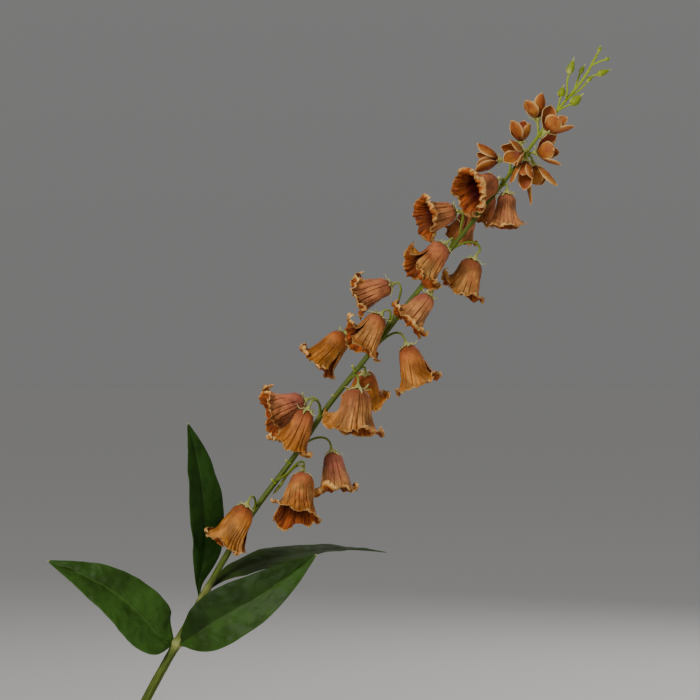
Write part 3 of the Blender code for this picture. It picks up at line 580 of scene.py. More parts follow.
def build_bell(bell, number):
    """A wilted bell: a creased tube and a lobed lip that flares, frills and rolls back."""
    wilt = WILTS[bell.name]
    chance = random.Random(bell.name + " folds")
    folds = bell_folds(bell, chance)
    closed = bell.slit == 0
    turns = bell_turns(folds, closed)
    steps = 0.035 + (HEM_START - 0.035) * evenly(BELL_ROWS) ** 0.9
    step, turn = np.meshgrid(steps, turns, indexing="ij")
    wander = [(chance.uniform(2, 6), chance.uniform(0, TURN), chance.uniform(0.02, 0.05)) for _ in range(2)]
    twist = sum(size * np.sin(rate * step + phase) for rate, phase, size in wander)
    points, angle = bell_wall(bell, step, turn, twist)

    # crease_shade marks the folds and wrinkles that get painted shade.
    crease_shade = np.zeros_like(step)
    depth = np.zeros_like(step)
    for at, width, start, deep in folds:
        x = ((turn - at + 0.5) % 1 - 0.5) / width
        present = rise(start - 0.05, start + 0.22, step)
        depth -= deep * present * (bump(x) - 0.16 * bump((x - 2) / 1.1) - 0.16 * bump((x + 2) / 1.1))
        crease_shade = np.maximum(crease_shade, bump(x / 0.85) * present * min(deep / 0.6, 1))
    body = rise(0.05, 0.3, step)
    faces = np.abs(noise_at(points * np.array([1, 1, 0.3]), 6.5, number + 20))
    faces = faces + 0.12 * noise_at(points, 2.6, number + 60)
    lines = np.abs(noise_at(points * np.array([1, 1, 0.4]), 4.6, number + 30))
    some = rise(0.0, 0.3, noise_at(points, 7.0, number + 100))
    wrinkle = np.clip(1 - lines / 0.07, 0, 1) * rise(0.25, 0.6, step) * some
    valley_shade = np.clip(1 - np.maximum(faces, 0) / 0.06, 0, 1) * rise(0.2, 0.6, step)
    wrinkled = WRINKLES.get(bell.name, 1)
    depth += 1.0 * noise_at(points, 11.0, number) * body
    depth += 1.9 * (np.minimum(faces, 0.5) - 0.22) * body * rise(0.1, 0.5, step) * (0.4 + 0.6 * wrinkled)
    depth += 0.22 * noise_at(points, 2.8, number + 40) * body
    depth -= 0.24 * wrinkle * wrinkled
    # Painted shade goes in the folds, the fine wrinkles and the valleys between the wall's faces.
    crease_shade = np.maximum(crease_shade, np.maximum(0.55 * wrinkle, 0.5 * valley_shade) * wrinkled)
    # Painted light and shade: the wall is lighter where it bulges out and darker in its dents.
    relief_light_and_shade = np.clip(0.5 + 0.62 * depth, 0, 1)
    out = grid_normals(points, closed)
    points = points + out * depth[..., None]

    edge_angle = angle[-1]
    broad = noise_at(points[-1], 10.0, number + 120)
    middling = noise_at(points[-1], 4.4, number + 140)
    ragged = noise_at(points[-1], 1.9, number + 80)
    hem_weight = rise(0.78, HEM_START, step)
    points = points + out * (wilt.frill * (1.3 * middling + 0.8 * ragged) * hem_weight)[..., None]
    tangent = unit(points[-1] - points[-3])
    normal = grid_normals(points, closed)[-1]
    length = 1 + 0.6 * ragged + 0.5 * broad + 0.3 * middling
    length = bell.radius * HEM_LENGTH * (0.5 + 0.5 * wilt.frill) * np.maximum(length, 0.25)
    rolled = wilt.curl + wilt.frill * (70 * broad + 85 * middling + 60 * ragged)
    for side, strength in wilt.rolls:
        away = (edge_angle - math.radians(side) + math.pi) % TURN - math.pi
        near = bump(away / 0.36)
        rolled = rolled + strength * near
        length = length * (1 + 0.55 * near)
    rolled = np.radians(np.where(np.abs(rolled) < 4, 4, np.clip(rolled, -50, 190)))
    hem = []
    for share in np.arange(1, HEM_ROWS + 1) / HEM_ROWS:
        bent = rolled * share
        reach = length / rolled
        hem.append(points[-1] + tangent * (reach * np.sin(bent))[:, None] + normal * (reach * (1 - np.cos(bent)))[:, None])
    points = np.concatenate([points, np.array(hem)])
    hem_steps = HEM_START + (1.06 - HEM_START) * np.arange(1, HEM_ROWS + 1) / HEM_ROWS
    steps = np.concatenate([steps, hem_steps])
    crease_shade = np.concatenate([crease_shade, np.repeat(crease_shade[-1:] * 0.7, HEM_ROWS, axis=0)])
    # Painted light and shade on the frilled lip, lighter where the frill is pushed out.
    hem_light_and_shade = np.clip(0.5 + 0.8 * middling + 0.6 * ragged, 0, 1)
    relief_light_and_shade = np.concatenate([relief_light_and_shade, np.repeat(hem_light_and_shade[None], HEM_ROWS, axis=0)])
    angle = np.concatenate([angle, np.repeat(angle[-1:], HEM_ROWS, axis=0)])

    whole_step = np.broadcast_to(steps[:, None], angle.shape)
    edge = rise(0.9, 1.06, whole_step)
    if not closed:
        torn = np.minimum(turns, 1 - turns)
        open_share = bell.slit * rise(0.3, 1, whole_step) / max(bell.slit, 1e-6)
        edge = np.maximum(edge, bump(torn / 0.012) * open_share)
        curl = bump(torn / 0.03) * open_share
        points = points + grid_normals(points) * (0.9 * curl)[..., None]
    away = (angle - math.radians(bell.lifted) + math.pi) % TURN - math.pi
    lifted = min(bell.lift, 1) * bump(away / LIFT_SPREAD) * rise(0.45, 0.85, whole_step)
    crease_shade = crease_shade * (0.45 + 0.55 * rise(-0.25, 0.15, noise_at(points, 3.6, number + 160)))
    skin = Skin()
    spot = np.stack([np.cos(angle), np.sin(angle), whole_step], axis=-1)
    form = np.stack([crease_shade, edge, np.zeros_like(edge)], axis=-1)
    thin = BELL_SKIN * (1 - 0.45 * rise(0.85, 1.06, whole_step))
    tone = np.stack(np.broadcast_arrays(wilt.blush * (1 - lifted), wilt.pale + lifted, relief_light_and_shade), axis=-1)
    skin.add_shell(on_plant(bell, points), thin, spot, form, tone, closed)
    make_piece(bell.name + "_petals", skin, "bell_petal", [bell.name])


def floret_petal(petal, step, across, start):
    """Points of a petal in the flower's axes. start is its root, as angles at its two edges."""
    azimuth, lean, length, half_width = petal
    azimuth, lean = math.radians(azimuth), math.radians(lean)
    out = np.array([math.cos(azimuth), math.sin(azimuth), 0])
    around = np.array([-math.sin(azimuth), math.cos(azimuth), 0])
    mouth = np.array([0, 0, 1])
    outward = out * math.cos(lean) - mouth * math.sin(lean)
    half = half_width * smooth_table(PETAL_OUTLINE, step[:, 0])[0][:, None]
    point = out * PETAL_ROOT + (out * math.sin(lean) + mouth * math.cos(lean)) * (length * step)[..., None]
    point = point + outward * (length * PETAL_BOW * step * (1 - step) ** 1.6)[..., None]
    point = point + around * (half * across)[..., None]
    point = point + outward * (half * (PETAL_TWIST * across - PETAL_CUP * across**2))[..., None]
    root_angle = start[0] + (start[1] - start[0]) * (across + 1) / 2
    rooted = np.stack([np.cos(root_angle), np.sin(root_angle), np.zeros_like(root_angle)], axis=-1) * PETAL_ROOT
    share = rise(0, 0.25, step)[..., None]
    return rooted + (point - rooted) * share, outward, around


def build_floret(floret, number):
    """A small flower: cupped, pointed petals with pale rims."""
    chance = random.Random(floret.name)
    skin = Skin()
    step, across = np.meshgrid(evenly(PETAL_ROWS), np.linspace(-1, 1, PETAL_COLUMNS), indexing="ij")
    count = len(floret.petals)
    for i, petal in enumerate(floret.petals):
        before = floret.petals[i - 1][0] - (360 if i == 0 else 0)
        after = floret.petals[(i + 1) % count][0] + (360 if i == count - 1 else 0)
        start = [math.radians((before + petal[0]) / 2), math.radians((petal[0] + after) / 2)]
        points, outward, around = floret_petal(petal, step, across, start)
        rim = rise(0.5, 1, np.abs(across)) * rise(0.2, 0.5, step)
        wave = np.sin(step * chance.uniform(7, 11) + chance.uniform(0, TURN)) * rim
        wave = wave + 0.5 * np.sin(step * chance.uniform(14, 20) + np.sign(across) * 1.7) * rim
        groove = bump(across / 0.12) * rise(0.05, 0.3, step) * (1 - rise(0.8, 1, step))
        veins = np.cos(across * 16 + step * 2.5 * np.sign(across)) * rise(0.1, 0.4, step) * (1 - rise(0.75, 1, step))
        lift = 0.32 * wave + 0.25 * groove + 0.07 * veins - 0.55 * rim
        lift = lift + 0.35 * noise_at(points, 4.5, number + i * 7)
        points = points + grid_normals(points) * lift[..., None]
        tip = rise(0.8, 1, step)
        edge = np.maximum(rise(0.8, 0.97, np.abs(across)) * rise(0.12, 0.3, step), rise(0.93, 0.99, step))
        # Painted shade in the middle groove and along the veins.
        crease_shade = np.maximum(groove * 0.6, 0.25 * rise(0.5, 1, veins))
        spot = np.stack([across, np.full_like(across, i + number), step], axis=-1)
        form = np.stack([crease_shade, edge, np.zeros_like(edge)], axis=-1)
        tone = (chance.uniform(0, 0.9), chance.uniform(0, 1), chance.random())
        thin = PETAL_SKIN * (1 - 0.4 * tip)
        skin.add_shell(on_plant(floret, points), thin, spot, form, tone)
    made = make_piece(floret.name + "_petals", skin, "floret_petal", [floret.name])
    return made


def stem_centre_line(rings):
    """Points and radii down the middle of the stem, swollen where the leaves join."""
    centres = curve_through([p for p, _ in STEM_LINE], evenly(rings))
    radii = np.interp(centres[:, 2], [p[2] for p, _ in STEM_LINE], [r for _, r in STEM_LINE])
    for leaf in LEAVES:
        away = (centres[:, 2] - leaf.joint) / LEAF_JOINT_REACH
        radii = radii + LEAF_JOINT_SWELL * 0.8 * bump(away * 1.3)
    return centres, radii


def stem_at(height):
    """The stem's middle and its direction at a height."""
    centres, _ = stem_centre_line(STEM_RINGS)
    at = int(np.searchsorted(centres[:, 2], height))
    low, high = Vector(centres[at - 1]), Vector(centres[at])
    return low.lerp(high, (height - low.z) / (high.z - low.z)), (high - low).normalized()


def stalk_line(flower):
    """Points along a flower's stalk, from the middle of the stem to the top of the cup."""
    mouth = flower_axes(flower.heading, flower.nod)[2]
    root, up = stem_at(flower.root)
    end = Vector(flower.base) - mouth * CUP_LENGTH
    if flower.name in STALK_PATHS:
        return curve_through([root, *STALK_PATHS[flower.name], end], evenly(STALK_RINGS))
    reach = max((end - root).length, 6)
    corners = (root, root + up * reach * 0.45, end - mouth * reach * 0.45, end)
    share = evenly(STALK_RINGS)[:, None]
    left = 1 - share
    weights = (left**3, 3 * left**2 * share, 3 * left * share**2, share**3)
    return sum(weight * np.array(tuple(corner)) for weight, corner in zip(weights, corners))


def add_stalk(skin, flower, chance):
    """A flower's stalk, from inside the stem, and the ribbed cup at its end."""
    mouth = np.array(tuple(flower_axes(flower.heading, flower.nod)[2]))
    line = stalk_line(flower)
    top = line[-1]
    shares = evenly(12)[1:]
    cup = [top + mouth * (CUP_LENGTH - 0.2) * share for share in shares]
    centres = np.concatenate([line, cup])
    swelling = 1 + 0.35 * bump((evenly(STALK_RINGS) - 0.02) / 0.06)
    radii = np.concatenate([STALK_RADIUS * 0.92 * swelling, smooth_table(CUP_RADII, shares)[0]])
    side = TURN * np.arange(STALK_SIDES) / STALK_SIDES
    ribs = 1 + 0.06 * np.cos(3 * side + chance.uniform(0, TURN))[None, :] * np.ones((len(centres), 1))
    pale = np.concatenate([0.25 * rise(0.7, 1, evenly(STALK_RINGS)), 0.25 + 0.5 * shares])
    fresh = np.full(len(centres), 0.25 + 0.6 * rise(560, 680, flower.base[2]))
    tone = np.stack([pale, fresh, np.full(len(centres), chance.random())], axis=-1)
    skin.add_tube(centres, radii, STALK_SIDES, tone, swell=ribs)


def add_blade(skin, line, halves, front, tone, cupped=0.3, thickness=SEPAL_SKIN):
    """A slim pointed blade along a line of points, cupped towards front."""
    line = np.array([tuple(p) for p in line], float)
    along = unit(np.gradient(line, axis=0))
    side = unit(np.cross(along, np.array(tuple(front), float)))
    upper = np.cross(side, along)
    across = np.linspace(-1, 1, 7)
    half = np.array(halves, float)[:, None, None]
    points = line[:, None] + side[:, None] * half * across[None, :, None]
    points = points + upper[:, None] * half * cupped * np.square(across)[None, :, None]
    step = np.broadcast_to(evenly(len(line))[:, None], points.shape[:2])
    spot = np.stack([np.broadcast_to(across, step.shape), step, step], axis=-1)
    edge = np.broadcast_to(rise(0.6, 1, np.abs(across)), step.shape)
    form = np.stack([np.zeros_like(step), edge, np.zeros_like(step)], axis=-1)
    skin.add_shell(points, thickness, spot, form, tone)


def add_sepals(skin, flower, chance, reach, drape, count=SEPALS):
    """Slim curly sepals that spread from the cup over the flower's shoulders."""
    axes = [np.array(tuple(axis)) for axis in flower_axes(flower.heading, flower.nod)]
    right, front, mouth = axes
    base = np.array(flower.base, float)
    first = chance.uniform(0, TURN)
    for i in range(count):
        angle = first + TURN * i / count + chance.uniform(-0.15, 0.15)
        out = right * math.cos(angle) + front * math.sin(angle)
        around = np.cross(mouth, out)
        length = reach * chance.uniform(0.75, 1.25)
        curl = chance.uniform(-0.2, 0.9)
        swerve = chance.uniform(-0.4, 0.4)
        share = evenly(12)
        radial = 2.0 + length * (0.92 * share - 0.12 * share**2 * drape)
        height = -1.1 + length * (drape * share**1.6 - curl * rise(0.45, 1, share) * 0.7)
        line = base + out * radial[:, None] + mouth * height[:, None]
        line = line + around * (swerve * length * share**2)[:, None]
        halves = 1.05 * np.interp(share, (0, 0.15, 0.4, 0.75, 0.93, 1), (1.1, 1.1, 0.9, 0.6, 0.32, 0.05))
        tone = (chance.uniform(0.55, 1.0), 0.4, chance.random())
        add_blade(skin, line, halves, -mouth + out * 0.4, tone, cupped=-0.35)


def add_bud(skin, bud, chance):
    """A bud on its stalk: it swells and then narrows to a point, with shallow seams."""
    stalk = [Vector(p) for p in bud.stalk]
    start, tip = Vector(bud.start), Vector(bud.tip)
    line = curve_through([*stalk, start], evenly(14))
    shares = evenly(22)[1:]
    body = np.array([tuple(start.lerp(tip, share)) for share in shares])
    centres = np.concatenate([line, body])
    swell = [(0, 0.35), (0.06, 0.66), (0.16, 0.93), (0.3, 1), (0.46, 0.9), (0.62, 0.62), (0.76, 0.3), (0.9, 0.14), (1, 0.05)]
    radii = np.concatenate([np.full(len(line), 0.68), bud.radius * smooth_table(swell, shares)[0]])
    side = TURN * np.arange(20) / 20
    seams = 1 - 0.08 * bump((((side + chance.uniform(0, 1)) % (TURN / 4)) - TURN / 8) / 0.12)
    seams = np.concatenate([np.ones((len(line), 20)), np.broadcast_to(seams, (len(shares), 20))])
    pale = np.concatenate([np.zeros(len(line)), 0.9 * rise(0.62, 0.95, shares)])
    ripe = np.concatenate([np.ones(len(line)), 1 - 0.45 * rise(0, 0.3, shares)])
    tone = np.stack([pale, ripe, np.full(len(centres), chance.random())], axis=-1)
    skin.add_tube(centres, radii, 20, tone, swell=seams)
    for i in range(3):
        angle = chance.uniform(0, TURN)
        along = (tip - start).normalized()
        out = (along.orthogonal().normalized() @ Matrix.Rotation(angle + i * 2.1, 3, along)).normalized()
        share = evenly(8)
        ring = np.interp(share, (0, 0.35, 0.7, 1), (0.5, 0.95, 1.06, 1.08)) * bud.radius
        back = start - along * 0.3
        line = np.array(tuple(back)) + np.array(tuple(along)) * (share * (tip - start).length * 0.36)[:, None]
        line = line + np.array(tuple(out)) * ring[:, None]
        halves = bud.radius * np.array([0.3, 0.36, 0.34, 0.28, 0.2, 0.13, 0.07, 0.03])
        add_blade(skin, line, halves, out, (0.5, 0.9, chance.random()), cupped=-0.4, thickness=0.25)


def build_stem():
    """The green stem with every stalk, calyx, sepal, bud, stub and bract that grows from it."""
    chance = random.Random("stem")
    skin = Skin()
    centres, radii = stem_centre_line(STEM_RINGS)
    side = TURN * np.arange(STEM_SIDES) / STEM_SIDES
    turned = side[None, :] + 0.6 * np.sin(centres[:, 2:3] / 90)
    ribs = 0.055 * np.cos(STEM_RIBS * turned) + 0.025 * np.cos(3 * turned + centres[:, 2:3] / 40)
    around = np.stack([np.cos(turned) * 2.2, np.sin(turned) * 2.2, np.repeat(centres[:, 2:3] / 6, STEM_SIDES, 1)], -1)
    rough = 0.05 * noise_at(around, 1.0, 3)
    fresh = 0.06 * rise(250, 420, centres[:, 2]) + 0.85 * rise(575, 655, centres[:, 2])
    joints = sum(bump((centres[:, 2] - leaf.joint) / 3.0) for leaf in LEAVES)
    tone = np.stack([0.25 * joints, fresh, np.zeros(len(centres))], axis=-1)
    # The grooves between the ribs, which get painted shade.
    groove = rise(0.005, -0.05, ribs + rough) * (1 - 0.7 * rise(600, 650, centres[:, 2:3]))
    form = np.stack([groove, 0 * groove, 0 * groove], axis=-1)
    skin.add_tube(centres, radii, STEM_SIDES, tone, form, swell=1 + ribs + rough)
    for flower in BELLS:
        add_stalk(skin, flower, chance)
        reach = SEPAL_REACH.get(flower.name, 7)
        add_sepals(skin, flower, chance, reach, 0.5)
        add_sepals(skin, flower, chance, 0.55 * reach, 0.15, 4)
    for flower in FLORETS:
        add_stalk(skin, flower, chance)
        add_sepals(skin, flower, chance, 5.2, 0.55)
    for bud in BUDS:
        add_bud(skin, bud, chance)
    for root, end in STUBS:
        line = curve_through([root, Vector(root).lerp(Vector(end), 0.6) + Vector((0, 0, 0.4)), end], evenly(10))
        radii = STUB_RADIUS * np.interp(evenly(10), (0, 0.3, 0.75, 0.92, 1), (1.1, 0.75, 1.0, 0.85, 0.3))
        tone = np.stack([0.5 * rise(0.4, 1, evenly(10)), np.full(10, 0.4), np.zeros(10)], axis=-1)
        skin.add_tube(line, radii, 14, tone)
    line = curve_through(BRACT, evenly(26))
    radii = np.interp(evenly(26), evenly(len(BRACT_RADII)), BRACT_RADII)
    radii = radii * (1 - 0.85 * rise(0.86, 1, evenly(26)))
    tone = np.stack([0.15 + 0.5 * rise(0.7, 1, evenly(26)), np.full(26, 0.3), np.zeros(26)], axis=-1)
    skin.add_tube(line, radii, 12, tone)
    make_piece("stem_and_stalks", skin, "stem", ["stem"])


def build_leaf(leaf, number):
    """A pointed leaf with a sunken midrib, side veins, raised skin between them and wavy edges."""
    chance = random.Random(leaf.name)
    middle, _ = stem_at(leaf.joint)
    radius = float(np.interp(leaf.joint, [p[2] for p, _ in STEM_LINE], [r for _, r in STEM_LINE]))
    base = middle + Vector(leaf.side).normalized() * (radius - 0.4)
    shares = evenly(LEAF_ROWS) ** 1.15
    centres = curve_through([base, *leaf.midrib], shares)
    half = leaf.half_width * smooth_table(list(zip(LEAF_STEPS, leaf.outline)), shares)[0]
    half = np.maximum(half, 0.25)
    along = unit(np.gradient(centres, axis=0))
    facing = np.array(leaf.facing) + (np.array(leaf.tip_facing) - np.array(leaf.facing)) * shares[:, None]
    side = unit(np.cross(along, facing))
    upper = np.cross(side, along)
    across = np.linspace(-1, 1, LEAF_COLUMNS)
    across = np.sign(across) * np.abs(across) ** 1.15
    fold = math.radians(leaf.fold)
    step, over = np.meshgrid(shares, across, indexing="ij")
    wide = half[:, None]
    climb = wide * math.sin(fold) * (np.abs(over) - 0.35 * over**2)
    points = centres[:, None] + side[:, None] * (wide * math.cos(fold) * over)[..., None]
    points = points + upper[:, None] * climb[..., None]

    full = rise(2, 8, wide) * np.ones_like(step)
    reach = step * (LEAF_VEINS + 1) - 1.9 * np.abs(over) ** 0.85 + 0.25 * np.sign(over)
    to_vein = np.abs((reach % 1) - 0.5) * 2
    vein = rise(0.86, 0.99, to_vein) * rise(0.03, 0.12, np.abs(over)) * (1 - rise(0.8, 0.98, np.abs(over)))
    midrib = bump(over / (0.035 + 0.3 / np.maximum(wide, 1)))
    quilt = (1 - to_vein**2) * rise(0.05, 0.3, np.abs(over)) * (1 - rise(0.75, 1, np.abs(over)))
    blister = noise_at(points, 7.5, number + 5) + 0.9 * np.abs(noise_at(points, 5.5, number + 15)) - 0.2
    edge_wave = np.sin(step * chance.uniform(16, 22) + np.sign(over) + chance.uniform(0, TURN))
    edge_wave = edge_wave + 0.6 * np.sin(step * chance.uniform(33, 41) - np.sign(over) * 2)
    margin = rise(0.55, 1, np.abs(over)) * rise(0.1, 0.25, step) * (1 - rise(0.9, 1, step))
    lift = full * (0.16 * quilt - 0.5 * midrib + 0.95 * LEAF_BLISTER[leaf.name] * blister * (1 - midrib))
    lift = lift + 0.55 * edge_wave * margin * full
    points = points + upper[:, None] * lift[..., None]
    skin = Skin()
    spot = np.stack([over, step, step], axis=-1)
    form = np.stack([np.maximum(vein * 0.7, midrib), rise(0.93, 1, np.abs(over)), np.zeros_like(step)], axis=-1)
    thick = LEAF_SKIN * (1 - 0.4 * np.abs(over)) + 1.3 * midrib * (1 - rise(0.3, 1, step))
    # Painted shade: one half or the whole of some leaves is made darker.
    low, high = LEAF_HALF_SHADE[leaf.name]
    light = low + (high - low) * rise(-0.12, 0.12, over)
    tone = np.stack([rise(0.985, 1, step), np.full_like(step, LEAF_OLIVE[leaf.name]), light], axis=-1)
    skin.add_shell(points, thick, spot, form, tone)
    make_piece(leaf.name + "_blade", skin, "leaf", [leaf.name])


def turned_skin(profile, segments, spot_scale=1):
    """A closed solid of revolution from radius and height pairs, inner or outer side alike."""
    skin = Skin()
    profile = np.array(profile, float)
    angle = -TURN * np.arange(segments) / segments
    ring = np.stack([np.cos(angle), np.sin(angle), np.zeros(segments)], axis=-1)
    points = profile[:, None, :1] * ring[None] + np.array([0, 0, 1]) * profile[:, None, 1:]
    number = skin.add_points(points, points * spot_scale, (0, 0, 0), (0, 0, 0))
    skin.join(number, closed=True)
    for row, end, flip in ((number[0], 0, False), (number[-1], -1, True)):
        middle = skin.add_points(np.array([0, 0, profile[end, 1]]), (0, 0, 0), (0, 0, 0), (0, 0, 0))
        fan = np.stack([np.full(segments, int(middle)), np.roll(row, -1), row], axis=-1)
        skin.triangles.append(fan[:, ::-1] if flip else fan)
    return skin


def wall_curve(points, count):
    """Radius and height pairs at equal steps along a smooth curve through the given ones."""
    return curve_through([(r, z, 0) for r, z in points], evenly(count))[:, :2]


def vase_walls():
    """The outer and inner wall of the vase, each from the foot up to the lip."""
    return wall_curve(VASE_OUTER + VASE_NECK_OUTER, 96), wall_curve(VASE_INNER + VASE_NECK_INNER, 84)


def build_vase():
    """A turned stoneware bottle, with the faint ridges that throwing leaves."""
    outer, inner = vase_walls()
    ridges = THROWING_RIDGE * np.sin(outer[:, 1] * 1.1 + 1.4 * np.sin(outer[:, 1] / 23))
    outer = outer + np.stack([ridges * rise(6, 16, outer[:, 1]) * (1 - rise(176, 188, outer[:, 1])), 0 * ridges], -1)
    lip = wall_curve([VASE_NECK_OUTER[-1], *VASE_LIP, VASE_NECK_INNER[-1]], 14)[1:-1]
    skin = turned_skin(np.concatenate([outer, lip, inner[::-1]]), VASE_SEGMENTS)
    make_piece("vase_body", skin, "stoneware", ["vase"])


def build_water():
    """The water in the belly, with a thin raised edge where it meets the wall."""
    _, inner = vase_walls()
    below = inner[inner[:, 1] < WATER_LEVEL - 1.2] - np.array([WATER_GAP, 0])
    below[0, 1] += WATER_GAP
    edge = float(np.interp(WATER_LEVEL, inner[:, 1], inner[:, 0])) - WATER_GAP
    surface = [(edge, WATER_LEVEL), (edge - 0.5, WATER_LEVEL - 0.5), (edge - 1.5, WATER_LEVEL - 0.9)]
    surface += [(edge - 3.5, WATER_LEVEL - 1), (edge * 0.5, WATER_LEVEL - 1), (0.5, WATER_LEVEL - 1)]
    skin = turned_skin(np.concatenate([below, surface]), WATER_SEGMENTS)
    make_piece("water_body", skin, "water", ["water"])


class Shader:
    """One material with a Principled shader, and short ways to add and join its nodes."""

    def __init__(self, name, roughness, **sockets):
        self.material = bpy.data.materials.new(name)
        self.material.use_nodes = True
        self.tree = self.material.node_tree
        self.principled = self.tree.nodes["Principled BSDF"]
        self.principled.inputs["Roughness"].default_value = roughness
        for label, value in sockets.items():
            self.principled.inputs[label.replace("_", " ")].default_value = value

    def link(self, value, socket):
        """Joins an output to a socket, or sets the socket to a number or colour."""
        if isinstance(value, bpy.types.NodeSocket):
            self.tree.links.new(value, socket)
        elif socket.type == "RGBA":
            socket.default_value = (*value, 1)
        else:
            socket.default_value = value

    def attribute(self, label):
        """The three parts of one of the mesh's own values, and the whole of it."""
        node = self.tree.nodes.new("ShaderNodeAttribute")
        node.attribute_name = label
        split = self.tree.nodes.new("ShaderNodeSeparateXYZ")
        self.tree.links.new(node.outputs["Vector"], split.inputs[0])
        return (*split.outputs, node.outputs["Vector"])

    def maths(self, operation, *values):
        node = self.tree.nodes.new("ShaderNodeMath")
        node.operation = operation
        for value, socket in zip(values, node.inputs):
            self.link(value, socket)
        return node.outputs[0]

    def spread(self, value, low, high, new_low=0.0, new_high=1.0):
        """value moved smoothly from one range to another, and kept inside it."""
        node = self.tree.nodes.new("ShaderNodeMapRange")
        node.interpolation_type = "SMOOTHSTEP"
        for item, socket in zip((value, low, high, new_low, new_high), node.inputs):
            self.link(item, socket)
        return node.outputs["Result"]

    def mix(self, share, first, second, blend="MIX"):
        node = self.tree.nodes.new("ShaderNodeMix")
        node.data_type = "RGBA"
        node.blend_type = blend
        self.link(share, node.inputs[0])
        self.link(first, node.inputs[6])
        self.link(second, node.inputs[7])
        return node.outputs[2]

    def shaded(self, colour, share):
        """The colour made darker or lighter by a share."""
        grey = self.tree.nodes.new("ShaderNodeCombineColor")
        for socket in grey.inputs:
            self.link(share, socket)
        return self.mix(1.0, colour, grey.outputs[0], "MULTIPLY")

    def stretched(self, vector, scale):
        node = self.tree.nodes.new("ShaderNodeVectorMath")
        node.operation = "MULTIPLY"
        self.tree.links.new(vector, node.inputs[0])
        node.inputs[1].default_value = scale
        return node.outputs[0]

    def position(self):
        return self.tree.nodes.new("ShaderNodeNewGeometry").outputs["Position"]

    def noise(self, vector, scale, detail=4.0, rough=0.55):
        node = self.tree.nodes.new("ShaderNodeTexNoise")
        self.link(vector, node.inputs["Vector"])
        node.inputs["Scale"].default_value = scale
        node.inputs["Detail"].default_value = detail
        node.inputs["Roughness"].default_value = rough
        return node.outputs["Fac"]

    def speckle(self, vector, scale):
        """How near the closest of many scattered spots is."""
        node = self.tree.nodes.new("ShaderNodeTexVoronoi")
        self.link(vector, node.inputs["Vector"])
        node.inputs["Scale"].default_value = scale
        return node.outputs["Distance"]

    def finish(self, colour, roughness=None, height=None, strength=0.3, distance=0.0004):
        self.link(colour, self.principled.inputs["Base Color"])
        if roughness is not None:
            self.link(roughness, self.principled.inputs["Roughness"])
        if height is not None:
            node = self.tree.nodes.new("ShaderNodeBump")
            node.inputs["Strength"].default_value = strength
            node.inputs["Distance"].default_value = distance
            self.link(height, node.inputs["Height"])
            self.tree.links.new(node.outputs["Normal"], self.principled.inputs["Normal"])
        return self.material


PETAL_BODY = (0.480, 0.162, 0.016)
PETAL_CROWN = (0.400, 0.098, 0.028)
PETAL_PINK = (0.450, 0.125, 0.078)
PETAL_PALE = (0.640, 0.320, 0.095)
PETAL_TAN = (0.540, 0.225, 0.085)
PETAL_LIP = (0.560, 0.235, 0.042)
PETAL_RIM = (0.760, 0.450, 0.150)
# Painted shade for the folds and wrinkles.
PETAL_CREASE_SHADE = (0.110, 0.010, 0.003)
# Dark maroon: the throat's own colour, deepened as painted shade inside the bell and in creased streaks.
PETAL_THROAT_AND_SHADE = (0.070, 0.005, 0.004)
PETAL_INSIDE = (0.430, 0.100, 0.013)


